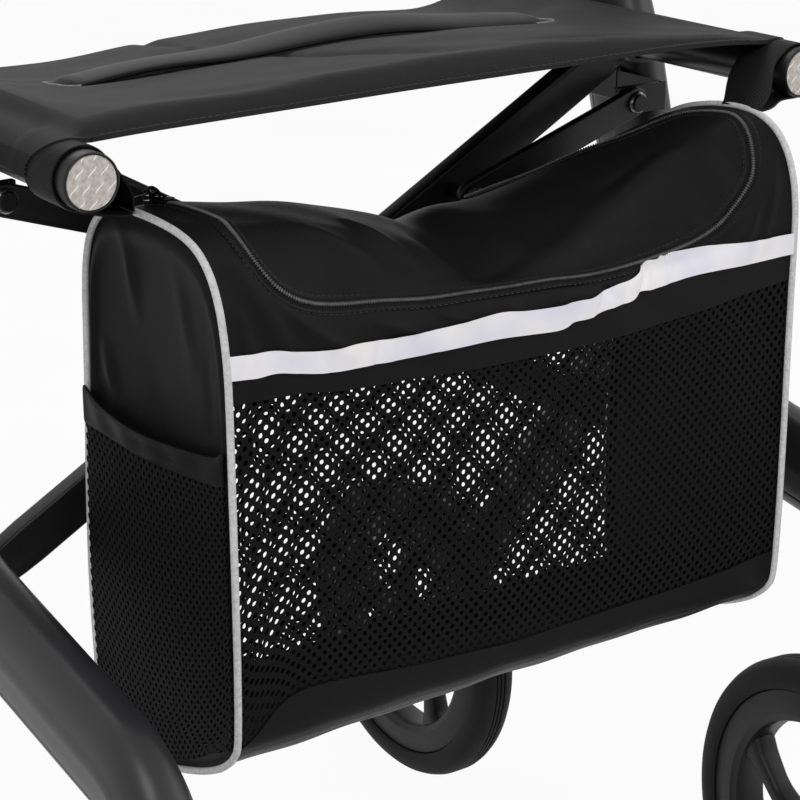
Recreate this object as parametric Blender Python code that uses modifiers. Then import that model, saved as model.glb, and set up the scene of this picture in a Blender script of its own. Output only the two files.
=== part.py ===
"""Folding rollator with moulded carbon side frames, X brace, sling seat and a hanging bag.

Metres, +Z up. The front of the rollator faces -Y, +X is the right side as
seen from the front.
Run with: blender --background --python part.py
"""

import math

import bmesh
import bpy
import numpy as np
from mathutils import Matrix, Vector

# Clearance kept between pieces that touch or turn in each other
GAP = 0.0003

# Side frames: plane of each frame, section of the moulded tube, lean of the upright
FRAME_X = 0.2585
TUBE_WIDTH = 0.034
TUBE_DEPTH = 0.058
LEAN = math.radians(16.0)
UPRIGHT_Y = 0.0144
UPRIGHT_Z = 0.565
FRAME_TOP_Z = 0.720
TOP_DEPTH = 0.042
KNEE_RADIUS = 0.100
LEG_SLOPE = math.radians(9.7)
LEG_Y = -0.112
LEG_Z = 0.3756
HEAD_BEND_RADIUS = 0.045
HEAD_BOTTOM_Z = 0.284
HEAD_DEPTH = 0.046
HEAD_WIDTH = 0.042
REAR_LEG_START = (-0.016, 0.432)
REAR_LEG_WAIST = (0.075, 0.330)
REAR_LEG_DEPTH = 0.046
REAR_LEG_FOOT_DEPTH = 0.030
REAR_LEG_WIDTH = 0.027
REAR_LEG_FOOT_WIDTH = 0.021

# Wheels
WHEEL_RADIUS = 0.1175
TYRE_WIDTH = 0.032
TYRE_DEPTH = 0.019
TREAD_WIDTH = 0.012
TYRE_STEPS = 30
RIM_INNER_RADIUS = 0.076
RIM_WIDTH = 0.027
HUB_RADIUS = 0.020
HUB_WIDTH = 0.030
SPOKES = 5
SPOKE_WIDTH = 0.014
SPOKE_THICKNESS = 0.016
SPOKE_SWEEP = math.radians(24.0)
SPOKE_POINTS = 4
AXLE_RADIUS = 0.004
AXLE_HEAD_RADIUS = 0.0075
AXLE_HEAD = 0.004
REAR_WHEEL_X = 0.2280
REAR_AXLE_Y = 0.2170
AXLE_BOSS_RADIUS = 0.0165

# Casters
STEM_Y = -0.2750
STEM_RADIUS = 0.006
STEM_LENGTH = 0.050
TRAIL = 0.083
CASTER_SWIVEL = math.radians(5.7)
FORK_PLATE = 0.006
FORK_CLEARANCE = 0.002
FORK_CROWN = 0.012
FORK_CROWN_LENGTH = 0.044
FORK_TOP_WIDTH = 0.036
FORK_FOOT_WIDTH = 0.024
BEARING_HEIGHT = 0.009
BEARING_RADIUS = 0.0215

# Handle tubes, grips and brake levers
HANDLE_RADIUS = 0.012
HANDLE_INSERT = 0.130
HANDLE_BORE_DEPTH = 0.215
HANDLE_CORNER_Z = 0.895
HANDLE_BEND_RADIUS = 0.050
HANDLE_RISE = math.radians(5.0)
HANDLE_END = 0.170
GRIP_LENGTH = 0.112
GRIP_RADIUS = 0.0165
CLAMP_RADIUS = 0.0165
CLAMP_HEIGHT = 0.020
KNOB_RADIUS = 0.015
KNOB_LENGTH = 0.013
KNOB_DROP = 0.030
KNOB_SCREW_RADIUS = 0.003
HOUSING_LENGTH = 0.022
HOUSING_WIDTH = 0.017
HOUSING_DROP = 0.021
LEVER_THICKNESS = 0.008
LEVER_DEPTH = 0.010
LEVER_PIVOT_DROP = 0.027
LEVER_PIN_RADIUS = 0.002

# Rear brakes
SHOE_GAP = 0.003
SHOE_LENGTH = 0.026
SHOE_WIDTH = 0.024
SHOE_HEIGHT = 0.010
SHOE_REACH = 0.036
SHOE_PIVOT_CLEAR = 0.020
SHOE_PIN_RADIUS = 0.004

# X brace, seat rails and stabiliser links
RAIL_X = 0.2264
RAIL_Z = 0.615
RAIL_RADIUS = 0.0125
RAIL_FRONT_Y = -0.1730
RAIL_REAR_Y = 0.1420
PIVOT_Z = 0.3605
BRACE_Y = -0.0125
PIVOT_RADIUS = 0.004
BAR_DEPTH = 0.025
BAR_THICKNESS = 0.0125
BAR_EYE_RADIUS = 0.0100
BAR_TAPER = 0.030
COLLAR_RADIUS = 0.0165
COLLAR_LENGTH = 0.030
SADDLE_DROP = 0.0025
BRACKET_PLATE = 0.004
BRACKET_HALF_LENGTH = 0.030
BRACKET_TOP_Z = 0.432
BRACKET_BOTTOM_Z = 0.346
EAR_THICKNESS = 0.0045
BRACE_BOLT_RADIUS = 0.005
BOLT_HEAD_RADIUS = 0.007
BOLT_HEAD = 0.005
NUT_RADIUS = 0.0078
NUT_HEIGHT = 0.006
CAP_RADIUS = 0.0145
CAP_LENGTH = 0.011
DISC_RADIUS = 0.0127
DISC_THICKNESS = 0.0015
DISC_RECESS = 0.0006
LINK_X = 0.212
LINK_Y = -0.0435
LINK_Z = 0.578
LINK_THICKNESS = 0.006
LINK_DEPTH = 0.018
LINK_FOOT_S = 0.100
LINK_PIN_RADIUS = 0.004
CRADLE_LENGTH = 0.030
CRADLE_DEPTH = 0.026
CRADLE_WALL = 0.003

# Sling seat and its pull strap
SEAT_FRONT_Y = -0.1500
SEAT_REAR_Y = 0.1300
SEAT_WRAP = 0.0015
SEAT_THICKNESS = 0.009
SEAT_CROWN = 0.007
SEAT_RISE = 0.010
SEAT_REAR_DROP = 0.032
SEAT_CHANNEL_DEPTH = 0.005
SEAT_CHANNEL_WIDTH = 0.014
SEAT_WRAP_END = math.radians(-4.0)
STRAP_HALF_LENGTH = 0.158
STRAP_WIDTH = 0.030
STRAP_THICKNESS = 0.0025
STRAP_RISE = 0.007

# Bag
BAG_HALF_WIDTH = 0.1825
BAG_FRONT_Y = -0.2160
BAG_BACK_Y = -0.0700
BAG_BOTTOM_Z = 0.3210
BAG_MOUTH_Z = 0.5480
BAG_TOP_Z = 0.5960
BAG_WALL = 0.003
BAG_CORNER = 0.012
BAG_TAPER = 0.006
BAG_REAR_DROP = 0.040
LID_SAG = 0.040
LOOP_RUN = 9
LOOP_SIDE = (0.2, 0.5, 0.8)
SLIDER_LENGTH = 0.020
SLIDER_WIDTH = 0.008
SLIDER_THICKNESS = 0.003
WEBBING_WIDTH = 0.030
WEBBING_LOOP_WIDTH = 0.010
WEBBING_THICKNESS = 0.0022
FRONT_WEBBING_Y = -0.1505
WEBBING_LAP = 0.012

# Values worked out from the sizes above
BRACE_ANGLE = math.atan2(RAIL_Z - PIVOT_Z, 2 * RAIL_X)
HALF_BAR = RAIL_X / math.cos(BRACE_ANGLE)
CENTRE_Z = (RAIL_Z + PIVOT_Z) / 2
BAR_Y = (BAR_THICKNESS + GAP) / 2
FRAME_INNER_X = FRAME_X - TUBE_WIDTH / 2
FRAME_OUTER_X = FRAME_X + TUBE_WIDTH / 2
UP_AXIS = Vector((0.0, math.sin(LEAN), math.cos(LEAN)))
GRIP_AXIS = Vector((0.0, math.cos(HANDLE_RISE), math.sin(HANDLE_RISE)))

RIGHT = 1
LEFT = -1
SIDE_NAMES = {RIGHT: "right", LEFT: "left"}

COLOURS = {
    "carbon": ((0.045, 0.046, 0.048), 0.32, 0.0),
    "black_metal": ((0.012, 0.012, 0.012), 0.38, 0.6),
    "black_plastic": ((0.010, 0.010, 0.010), 0.45, 0.0),
    "rubber": ((0.008, 0.008, 0.008), 0.75, 0.0),
    "steel": ((0.40, 0.40, 0.41), 0.30, 1.0),
    "seat_cloth": ((0.030, 0.030, 0.031), 0.80, 0.0),
    "bag_cloth": ((0.008, 0.008, 0.009), 0.60, 0.0),
    "webbing": ((0.015, 0.015, 0.015), 0.70, 0.0),
    "reflector": ((0.60, 0.56, 0.53), 0.25, 0.2),
}


def clear_scene():
    for obj in list(bpy.data.objects):
        bpy.data.objects.remove(obj, do_unlink=True)


def new_collection(name):
    collection = bpy.data.collections.new(name)
    bpy.context.scene.collection.children.link(collection)
    return collection


clear_scene()
PARTS = new_collection("Carbon rollator")
TOOLS = new_collection("Cutters")


def material(name):
    """One Principled material per kind of surface."""
    found = bpy.data.materials.get(name)
    if found:
        return found
    colour, roughness, metallic = COLOURS[name]
    made = bpy.data.materials.new(name)
    made.use_nodes = True
    shader = made.node_tree.nodes["Principled BSDF"]
    shader.inputs["Base Color"].default_value = (*colour, 1.0)
    shader.inputs["Roughness"].default_value = roughness
    shader.inputs["Metallic"].default_value = metallic
    made.diffuse_color = (*colour, 1.0)
    return made


def raw_object(name, mesh):
    """A mesh object that is still a tool; finish() turns it into a piece."""
    obj = bpy.data.objects.new(name, mesh)
    obj.hide_render = True
    obj.display_type = "WIRE"
    TOOLS.objects.link(obj)
    return obj


def mesh_from(name, points, faces):
    mesh = bpy.data.meshes.new(name)
    mesh.from_pydata([tuple(p) for p in points], [], faces)
    mesh.update()
    return mesh


def face_outwards(mesh):
    work = bmesh.new()
    work.from_mesh(mesh)
    bmesh.ops.recalc_face_normals(work, faces=work.faces)
    work.to_mesh(mesh)
    work.free()


def box(name, low, high, bevel=0.0):
    """A box between two corners, with rounded edges where bevel is given."""
    work = bmesh.new()
    low, high = Vector(low), Vector(high)
    size = high - low
    place = Matrix.Translation((low + high) / 2) @ Matrix.Diagonal((*size, 1.0))
    bmesh.ops.create_cube(work, size=1.0, matrix=place)
    mesh = bpy.data.meshes.new(name)
    work.to_mesh(mesh)
    work.free()
    obj = raw_object(name, mesh)
    if bevel:
        rounding = obj.modifiers.new("Rounding", "BEVEL")
        rounding.width = bevel
        rounding.segments = 1
    return obj


def turn_to(axis):
    """Rotation that carries +Z onto the axis."""
    return Vector(axis).to_track_quat("Z", "Y").to_matrix().to_4x4()


def cylinder(name, radius, start, end, sides=20, end_radius=None):
    """A closed cylinder, or a cone, between two points."""
    start, end = Vector(start), Vector(end)
    length = (end - start).length
    place = Matrix.Translation((start + end) / 2) @ turn_to(end - start)
    work = bmesh.new()
    bmesh.ops.create_cone(
        work,
        cap_ends=True,
        segments=sides,
        radius1=radius,
        radius2=radius if end_radius is None else end_radius,
        depth=length,
        matrix=place,
    )
    mesh = bpy.data.meshes.new(name)
    work.to_mesh(mesh)
    work.free()
    return raw_object(name, mesh)


def turned(name, profile, start, axis, steps=32, closed=False):
    """A profile of (radius, height) points, top first, turned about the axis through start."""
    points = [(radius, 0.0, height) for radius, height in profile]
    edges = [(i, i + 1) for i in range(len(points) - 1)]
    if closed:
        edges.append((len(points) - 1, 0))
    mesh = bpy.data.meshes.new(name)
    mesh.from_pydata(points, edges, [])
    obj = raw_object(name, mesh)
    screw = obj.modifiers.new("Turning", "SCREW")
    screw.steps = steps
    screw.render_steps = steps
    screw.use_merge_vertices = True
    screw.merge_threshold = 0.00001
    obj.matrix_world = Matrix.Translation(start) @ turn_to(axis)
    return obj


def mesh_of_curve(name, curve_object):
    """The curve's evaluated mesh with its caps welded, as a new object in the same place."""
    bpy.context.view_layer.update()
    graph = bpy.context.evaluated_depsgraph_get()
    mesh = bpy.data.meshes.new_from_object(curve_object.evaluated_get(graph))
    work = bmesh.new()
    work.from_mesh(mesh)
    bmesh.ops.remove_doubles(work, verts=work.verts, dist=0.00001)
    work.to_mesh(mesh)
    work.free()
    obj = raw_object(name, mesh)
    obj.matrix_world = curve_object.matrix_world.copy()
    curve = curve_object.data
    bpy.data.objects.remove(curve_object, do_unlink=True)
    bpy.data.curves.remove(curve)
    return obj


def plate(name, outline, thickness, centre, across):
    """A flat outline in the XZ or YZ plane, given thickness along the other axis."""
    curve = bpy.data.curves.new(name, "CURVE")
    curve.dimensions = "2D"
    curve.fill_mode = "BOTH"
    curve.extrude = thickness / 2
    spline = curve.splines.new("POLY")
    spline.points.add(len(outline) - 1)
    for point, (a, b) in zip(spline.points, outline):
        point.co = (a, b, 0.0, 1.0)
    spline.use_cyclic_u = True
    obj = bpy.data.objects.new(name, curve)
    TOOLS.objects.link(obj)
    if across == "Y":
        axes = Matrix(((1, 0, 0), (0, 0, -1), (0, 1, 0))).to_4x4()
    else:
        axes = Matrix(((0, 0, 1), (1, 0, 0), (0, 1, 0))).to_4x4()
    obj.matrix_world = Matrix.Translation(centre) @ axes
    return mesh_of_curve(name, obj)


def tube(name, points, radius, resolution=3):
    """A round tube along the points, with filled ends."""
    curve = bpy.data.curves.new(name, "CURVE")
    curve.dimensions = "3D"
    curve.bevel_depth = radius
    curve.bevel_resolution = resolution
    curve.use_fill_caps = True
    spline = curve.splines.new("POLY")
    spline.points.add(len(points) - 1)
    for point, place in zip(spline.points, points):
        point.co = (*place, 1.0)
    obj = bpy.data.objects.new(name, curve)
    TOOLS.objects.link(obj)
    return mesh_of_curve(name, obj)


def loft(name, rings):
    """A closed body through rings of points, each ring a closed loop, with flat ends."""
    rings = np.asarray(rings)
    count, sides = rings.shape[:2]
    faces = []
    for i in range(count - 1):
        for j in range(sides):
            k = (j + 1) % sides
            faces.append((i * sides + j, i * sides + k, (i + 1) * sides + k, (i + 1) * sides + j))
    faces.append(tuple(range(sides)))
    faces.append(tuple((count - 1) * sides + j for j in range(sides)))
    mesh = mesh_from(name, rings.reshape(-1, 3), faces)
    face_outwards(mesh)
    return raw_object(name, mesh)


def sweep(name, path, half_widths, half_depths, x, sides=12, fullness=2.4):
    """A moulded tube along a path in a YZ plane: superellipse sections square to the path."""
    path = np.asarray(path, float)
    along = np.gradient(path, axis=0)
    along /= np.linalg.norm(along, axis=1)[:, None]
    across = np.stack([-along[:, 1], along[:, 0]], axis=1)
    turn = np.linspace(0, 2 * np.pi, sides, endpoint=False)
    wide = np.sign(np.cos(turn)) * np.abs(np.cos(turn)) ** (2 / fullness)
    deep = np.sign(np.sin(turn)) * np.abs(np.sin(turn)) ** (2 / fullness)
    rings = np.zeros((len(path), sides, 3))
    rings[:, :, 0] = x + np.outer(half_widths, wide)
    rings[:, :, 1] = path[:, :1] + across[:, :1] * np.outer(half_depths, deep)
    rings[:, :, 2] = path[:, 1:] + across[:, 1:] * np.outer(half_depths, deep)
    return loft(name, rings)


def combine(target, operation, *tools):
    for tool in tools:
        step = target.modifiers.new(operation.title(), "BOOLEAN")
        step.operation = operation
        step.solver = "EXACT"
        step.object = tool
    return target


def join(target, *tools):
    return combine(target, "UNION", *tools)


def cut(target, *tools):
    return combine(target, "DIFFERENCE", *tools)


def finish(obj, name, surface, pivot=(0.0, 0.0, 0.0), smooth=35.0):
    """Apply the modifiers, drop the tools and keep the piece with its origin at the pivot."""
    bpy.context.view_layer.update()
    graph = bpy.context.evaluated_depsgraph_get()
    mesh = bpy.data.meshes.new_from_object(obj.evaluated_get(graph))
    mesh.transform(Matrix.Translation(-Vector(pivot)) @ obj.matrix_world)
    work = bmesh.new()
    work.from_mesh(mesh)
    bmesh.ops.remove_doubles(work, verts=work.verts, dist=0.000002)
    bmesh.ops.dissolve_degenerate(work, edges=work.edges, dist=0.000002)
    work.to_mesh(mesh)
    work.free()
    mesh.name = name
    mesh.materials.clear()
    mesh.materials.append(material(surface))
    mesh.shade_smooth()
    mesh.set_sharp_from_angle(angle=math.radians(smooth))
    for tool in list(TOOLS.objects):
        bpy.data.objects.remove(tool, do_unlink=True)
    return keep(mesh, name, pivot)


def keep(mesh, name, pivot, turn=0.0):
    piece = bpy.data.objects.new(name, mesh)
    piece.location = pivot
    piece.rotation_euler = (0.0, 0.0, turn)
    PARTS.objects.link(piece)
    return piece


def arc(centre, radius, start, end, count):
    """Points on a circle in a plane, from one angle to another."""
    return [
        (centre[0] + radius * math.cos(a), centre[1] + radius * math.sin(a))
        for a in np.linspace(start, end, count)
    ]


def rounded_corner(before, corner, after, radius, count=6):
    """Points of an arc that rounds the corner of two straight runs."""
    corner = np.asarray(corner, float)
    back = np.asarray(before, float) - corner
    ahead = np.asarray(after, float) - corner
    back /= np.linalg.norm(back)
    ahead /= np.linalg.norm(ahead)
    half = math.acos(float(np.clip(back @ ahead, -1, 1))) / 2
    middle = (back + ahead) / np.linalg.norm(back + ahead)
    centre = corner + middle * radius / math.sin(half)
    first = corner + back * radius / math.tan(half) - centre
    last = corner + ahead * radius / math.tan(half) - centre
    span = math.pi - 2 * half
    steps = np.linspace(0, 1, count)
    return [
        tuple(centre + (math.sin((1 - t) * span) * first + math.sin(t * span) * last) / math.sin(span))
        for t in steps
    ]


def upright_y(z):
    """Middle of the leaning upright at a height."""
    return UPRIGHT_Y + (z - UPRIGHT_Z) * math.tan(LEAN)


def leg_z(y):
    """Middle of the sloping front leg."""
    return LEG_Z + (y - LEG_Y) * math.tan(LEG_SLOPE)


def frame_path():
    """Middle line of the main tube from its top, round the knee, to the steering head."""
    slope, lean = math.tan(LEG_SLOPE), math.tan(LEAN)
    knee_z = (LEG_Z + (UPRIGHT_Y - LEG_Y - UPRIGHT_Z * lean) * slope) / (1 - slope * lean)
    knee = (upright_y(knee_z), knee_z)
    top = (upright_y(FRAME_TOP_Z), FRAME_TOP_Z)
    head = (STEM_Y, leg_z(STEM_Y))
    foot = (STEM_Y, HEAD_BOTTOM_Z)
    path = [top, (upright_y(UPRIGHT_Z + 0.09), UPRIGHT_Z + 0.09)]
    path += [(upright_y(UPRIGHT_Z + d), UPRIGHT_Z + d) for d in (0.05, 0.01, -0.05)]
    path += rounded_corner(top, knee, head, KNEE_RADIUS, 6)
    path += [((path[-1][0] + STEM_Y) / 2, leg_z((path[-1][0] + STEM_Y) / 2))]
    path += rounded_corner(knee, head, foot, HEAD_BEND_RADIUS, 5)
    path += [foot]
    return np.array(path)


def frame_sections(path):
    """Half widths and half depths along the main tube: slim top, deep knee, round head."""
    steps = np.linalg.norm(np.diff(path, axis=0), axis=1)
    run = np.concatenate([[0], np.cumsum(steps)])
    knee = run[7]
    head = run[-6]
    depth = np.interp(
        run,
        [0, 0.06, 0.13, knee, head, run[-1]],
        [TOP_DEPTH, TOP_DEPTH + 0.002, TUBE_DEPTH + 0.006, TUBE_DEPTH + 0.004, TUBE_DEPTH - 0.002, HEAD_DEPTH],
    )
    width = np.interp(run, [0, head, run[-1]], [TUBE_WIDTH, TUBE_WIDTH, HEAD_WIDTH])
    return width / 2, depth / 2


def side_frame(side):
    """Carbon side frame: main tube and rear leg moulded as one, bored for tube, stem and axle."""
    path = frame_path()
    width, depth = frame_sections(path)
    body = sweep("main tube", path, width, depth, side * FRAME_X)
    t = np.linspace(0, 1, 7)[:, None]
    foot = np.array((REAR_AXLE_Y, WHEEL_RADIUS))
    start, waist = np.array(REAR_LEG_START), np.array(REAR_LEG_WAIST)
    leg = (1 - t) ** 2 * start + 2 * t * (1 - t) * waist + t**2 * foot
    t = t[:, 0]
    leg_width = (REAR_LEG_WIDTH + (REAR_LEG_FOOT_WIDTH - REAR_LEG_WIDTH) * t) / 2
    leg_depth = (REAR_LEG_DEPTH + (REAR_LEG_FOOT_DEPTH - REAR_LEG_DEPTH) * t) / 2
    rear = sweep("rear leg", leg, leg_width, leg_depth, side * FRAME_X)
    boss_half = REAR_LEG_FOOT_WIDTH / 2 + 0.0005
    boss = cylinder(
        "axle boss",
        AXLE_BOSS_RADIUS,
        (side * FRAME_X - boss_half, *foot),
        (side * FRAME_X + boss_half, *foot),
    )
    top = Vector((side * FRAME_X, upright_y(FRAME_TOP_Z), FRAME_TOP_Z))
    bore = cylinder("handle bore", HANDLE_RADIUS + GAP, top + UP_AXIS * 0.01, top - UP_AXIS * HANDLE_BORE_DEPTH)
    knob = top - UP_AXIS * KNOB_DROP
    out = Vector((side, 0, 0))
    screw = cylinder("knob hole", KNOB_SCREW_RADIUS + GAP, knob, knob + out * TUBE_WIDTH, 12)
    stem_low = Vector((side * FRAME_X, STEM_Y, HEAD_BOTTOM_Z - 0.01))
    stem = cylinder("stem bore", STEM_RADIUS + GAP, stem_low, stem_low + Vector((0, 0, STEM_LENGTH + 0.012)))
    axle = cylinder(
        "axle bore",
        AXLE_RADIUS + GAP,
        (side * FRAME_X - 2 * boss_half, *foot),
        (side * FRAME_X + 2 * boss_half, *foot),
        16,
    )
    axle_place, up_leg, _ = shoe_frame()
    pin_place = axle_place + up_leg * (WHEEL_RADIUS + SHOE_PIVOT_CLEAR)
    shoe = cylinder(
        "shoe pin bore",
        SHOE_PIN_RADIUS + GAP,
        (side * REAR_WHEEL_X, *pin_place),
        (side * FRAME_X, *pin_place),
        12,
    )
    join(body, rear, boss)
    cut(body, bore, screw, stem, axle, shoe)
    return finish(body, f"side_frame_{SIDE_NAMES[side]}", "carbon", (side * RAIL_X, 0, PIVOT_Z))


def handle_points(side):
    """Middle line of the handle tube: up the lean, round the bend and back along the grip."""
    top = Vector((side * FRAME_X, upright_y(FRAME_TOP_Z), FRAME_TOP_Z))
    corner = Vector((side * FRAME_X, upright_y(HANDLE_CORNER_Z), HANDLE_CORNER_Z))
    start = top - UP_AXIS * HANDLE_INSERT
    end = corner + GRIP_AXIS * HANDLE_END
    bend = rounded_corner(start.yz, corner.yz, end.yz, HANDLE_BEND_RADIUS, 7)
    return [start] + [Vector((side * FRAME_X, y, z)) for y, z in bend] + [end], corner


def handle(side):
    points, corner = handle_points(side)
    pivot = points[0]
    name = SIDE_NAMES[side]
    obj = tube("handle", points, HANDLE_RADIUS, 4)
    finish(obj, f"handle_tube_{name}", "black_metal", pivot)

    top = Vector((side * FRAME_X, upright_y(FRAME_TOP_Z), FRAME_TOP_Z))
    low = top + UP_AXIS * GAP
    ring = [
        (HANDLE_RADIUS + GAP, CLAMP_HEIGHT),
        (CLAMP_RADIUS - 0.001, CLAMP_HEIGHT),
        (CLAMP_RADIUS, CLAMP_HEIGHT - 0.001),
        (CLAMP_RADIUS, 0.0),
        (HANDLE_RADIUS + GAP, 0.0),
    ]
    obj = turned("clamp", ring, low, UP_AXIS, 16, closed=True)
    finish(obj, f"height_clamp_{name}", "black_plastic", low)

    grip_start = points[-1] - GRIP_AXIS * GRIP_LENGTH
    bore = HANDLE_RADIUS + GAP
    waist = GRIP_RADIUS - 0.0015
    profile = [
        (0.0, GRIP_LENGTH + 0.005),
        (GRIP_RADIUS * 0.8, GRIP_LENGTH + 0.005),
        (GRIP_RADIUS + 0.001, GRIP_LENGTH - 0.001),
        (waist, GRIP_LENGTH * 0.72),
        (GRIP_RADIUS, GRIP_LENGTH * 0.40),
        (GRIP_RADIUS, 0.0),
        (bore, 0.0),
        (bore, GRIP_LENGTH + GAP),
        (0.0, GRIP_LENGTH + GAP),
    ]
    obj = turned("grip", profile, grip_start, GRIP_AXIS, 16)
    finish(obj, f"grip_{name}", "rubber", grip_start)
    brake_lever(side, grip_start)


def brake_lever(side, grip_start):
    """Housing clamped in front of the grip, and the lever that hangs from it under the grip."""
    name = SIDE_NAMES[side]
    back = grip_start - GRIP_AXIS * (2 * GAP)
    front = back - GRIP_AXIS * HOUSING_LENGTH
    down = Vector((0, GRIP_AXIS.z, -GRIP_AXIS.y))
    middle = (back + front) / 2
    pivot = middle + down * LEVER_PIVOT_DROP
    frame = Matrix.Translation(middle) @ Matrix.Rotation(HANDLE_RISE, 4, "X")
    ring = cylinder("ring", GRIP_RADIUS, front, back, 16)
    block = box(
        "block",
        (-HOUSING_WIDTH / 2, -HOUSING_LENGTH / 2 + 0.0005, -LEVER_PIVOT_DROP - 0.007),
        (HOUSING_WIDTH / 2, HOUSING_LENGTH / 2 - 0.0005, -HANDLE_RADIUS - 0.001),
        0.0015,
    )
    block.matrix_world = frame
    slot = box(
        "slot",
        (-LEVER_THICKNESS / 2 - GAP, -HOUSING_LENGTH, -LEVER_PIVOT_DROP - 0.02),
        (LEVER_THICKNESS / 2 + GAP, HOUSING_LENGTH, -LEVER_PIVOT_DROP + LEVER_DEPTH / 2 + 0.002),
    )
    slot.matrix_world = frame
    bore = cylinder("bore", HANDLE_RADIUS + GAP, front - GRIP_AXIS * 0.01, back + GRIP_AXIS * 0.01, 16)
    side_step = Vector((HOUSING_WIDTH, 0, 0))
    pin_hole = cylinder("pin hole", LEVER_PIN_RADIUS + GAP, pivot - side_step, pivot + side_step, 12)
    join(ring, block)
    cut(ring, bore, slot, pin_hole)
    finish(ring, f"brake_housing_{name}", "black_plastic", middle)

    half = LEVER_DEPTH / 2
    reach = GRIP_LENGTH * 0.92
    path = [
        (0.001, 0.0),
        (0.018, -0.004),
        (0.036, -0.013),
        (0.060, -0.022),
        (reach - 0.018, -0.027),
        (reach, -0.024),
    ]
    turn = Matrix.Rotation(HANDLE_RISE, 2)
    path = [tuple(Vector((pivot.y, pivot.z)) + turn @ Vector(p)) for p in path]
    width = [LEVER_THICKNESS / 2] * len(path)
    depth = [half * k for k in (1.0, 0.95, 0.8, 0.75, 0.75, 0.6)]
    lever = sweep("lever", path, width, depth, side * FRAME_X, 8, 3.0)
    pin_step = Vector((HOUSING_WIDTH / 2 - 0.0005, 0, 0))
    pin = cylinder("pin", LEVER_PIN_RADIUS, pivot - pin_step, pivot + pin_step, 12)
    eye = cylinder(
        "eye",
        half + 0.0007,
        pivot - Vector((LEVER_THICKNESS / 2 - 0.0005, 0, 0)),
        pivot + Vector((LEVER_THICKNESS / 2 - 0.0005, 0, 0)),
        14,
    )
    join(lever, eye, pin)
    finish(lever, f"brake_lever_{name}", "black_plastic", pivot)


def height_knob(side):
    """Screw knob on the outside of the upright that grips the handle tube."""
    top = Vector((side * FRAME_X, upright_y(FRAME_TOP_Z), FRAME_TOP_Z))
    centre = top - UP_AXIS * KNOB_DROP
    out = Vector((side, 0, 0))
    face = centre + out * (TUBE_WIDTH / 2 + GAP)
    profile = [
        (0.0, KNOB_LENGTH),
        (KNOB_RADIUS - 0.003, KNOB_LENGTH),
        (KNOB_RADIUS, KNOB_LENGTH - 0.003),
        (KNOB_RADIUS, 0.004),
        (KNOB_RADIUS * 0.6, 0.0),
        (0.0, 0.0),
    ]
    knob = turned("knob", profile, face, out, 18)
    screw = cylinder(
        "screw",
        KNOB_SCREW_RADIUS,
        centre + out * (HANDLE_RADIUS + GAP),
        face + out * 0.002,
        16,
    )
    join(knob, screw)
    flutes = []
    across = Vector((0, 0, 1))
    for i in range(6):
        spot = face + Matrix.Rotation(i * math.pi / 3, 3, out) @ across * (KNOB_RADIUS + 0.003)
        flutes.append(cylinder("flute", 0.005, spot - out * 0.002, spot + out * (KNOB_LENGTH + 0.002), 8))
    cut(knob, *flutes)
    finish(knob, f"height_knob_{SIDE_NAMES[side]}", "black_plastic", face)


def wheel_mesh():
    """Rim, five swept spokes and hub as one moulding, spin axis X through the origin."""
    outer = WHEEL_RADIUS - TYRE_DEPTH - GAP
    half = RIM_WIDTH / 2
    ring = [
        (RIM_INNER_RADIUS, half - 0.002),
        (RIM_INNER_RADIUS + 0.002, half),
        (outer, half),
        (outer, -half),
        (RIM_INNER_RADIUS + 0.002, -half),
        (RIM_INNER_RADIUS, -half + 0.002),
    ]
    rim = turned("rim", ring, (0, 0, 0), (1, 0, 0), TYRE_STEPS, closed=True)
    spokes = []
    for i in range(SPOKES):
        start = 2 * math.pi * i / SPOKES
        path = []
        for t in np.linspace(0, 1, SPOKE_POINTS):
            radius = HUB_RADIUS * 0.5 + (RIM_INNER_RADIUS + 0.004 - HUB_RADIUS * 0.5) * t
            angle = start + SPOKE_SWEEP * math.sin(math.pi * t / 2) ** 2
            path.append((radius * math.cos(angle), radius * math.sin(angle)))
        depth = np.interp(np.linspace(0, 1, SPOKE_POINTS), [0, 0.5, 1], [0.5, 0.42, 0.62]) * SPOKE_WIDTH
        width = np.full(SPOKE_POINTS, SPOKE_THICKNESS / 2)
        spokes.append(sweep("spoke", path, width, depth, 0.0, 8, 3.0))
    hub = cylinder("hub", HUB_RADIUS, (-HUB_WIDTH / 2, 0, 0), (HUB_WIDTH / 2, 0, 0), 12)
    bore = cylinder("bore", AXLE_RADIUS + GAP, (-HUB_WIDTH, 0, 0), (HUB_WIDTH, 0, 0), 12)
    join(hub, *spokes)
    join(hub, rim)
    cut(hub, bore)
    piece = finish(hub, "wheel pattern", "black_plastic")
    mesh = piece.data
    bpy.data.objects.remove(piece, do_unlink=True)
    return mesh


def tyre_mesh():
    """Solid tyre with a flat tread band; the lowest facet of the band lies on the floor."""
    inner = WHEEL_RADIUS - TYRE_DEPTH
    tread = WHEEL_RADIUS / math.cos(math.pi / TYRE_STEPS)
    half = TYRE_WIDTH / 2
    ring = [
        (inner, half - 0.002),
        (inner + 0.005, half),
        (tread - 0.0050, half - 0.0025),
        (tread, TREAD_WIDTH / 2),
        (tread, -TREAD_WIDTH / 2),
        (tread - 0.0050, -half + 0.0025),
        (inner + 0.005, -half),
        (inner, -half + 0.002),
    ]
    obj = turned("tyre", ring, (0, 0, 0), (1, 0, 0), TYRE_STEPS, closed=True)
    piece = finish(obj, "tyre pattern", "rubber")
    mesh = piece.data
    bpy.data.objects.remove(piece, do_unlink=True)
    return mesh


def swivelled(point, side):
    """A caster point given straight behind its stem, turned to the rest swivel."""
    stem = Vector((side * FRAME_X, STEM_Y, 0))
    return stem + Matrix.Rotation(-side * CASTER_SWIVEL, 3, "Z") @ (Vector(point) - stem)


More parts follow.
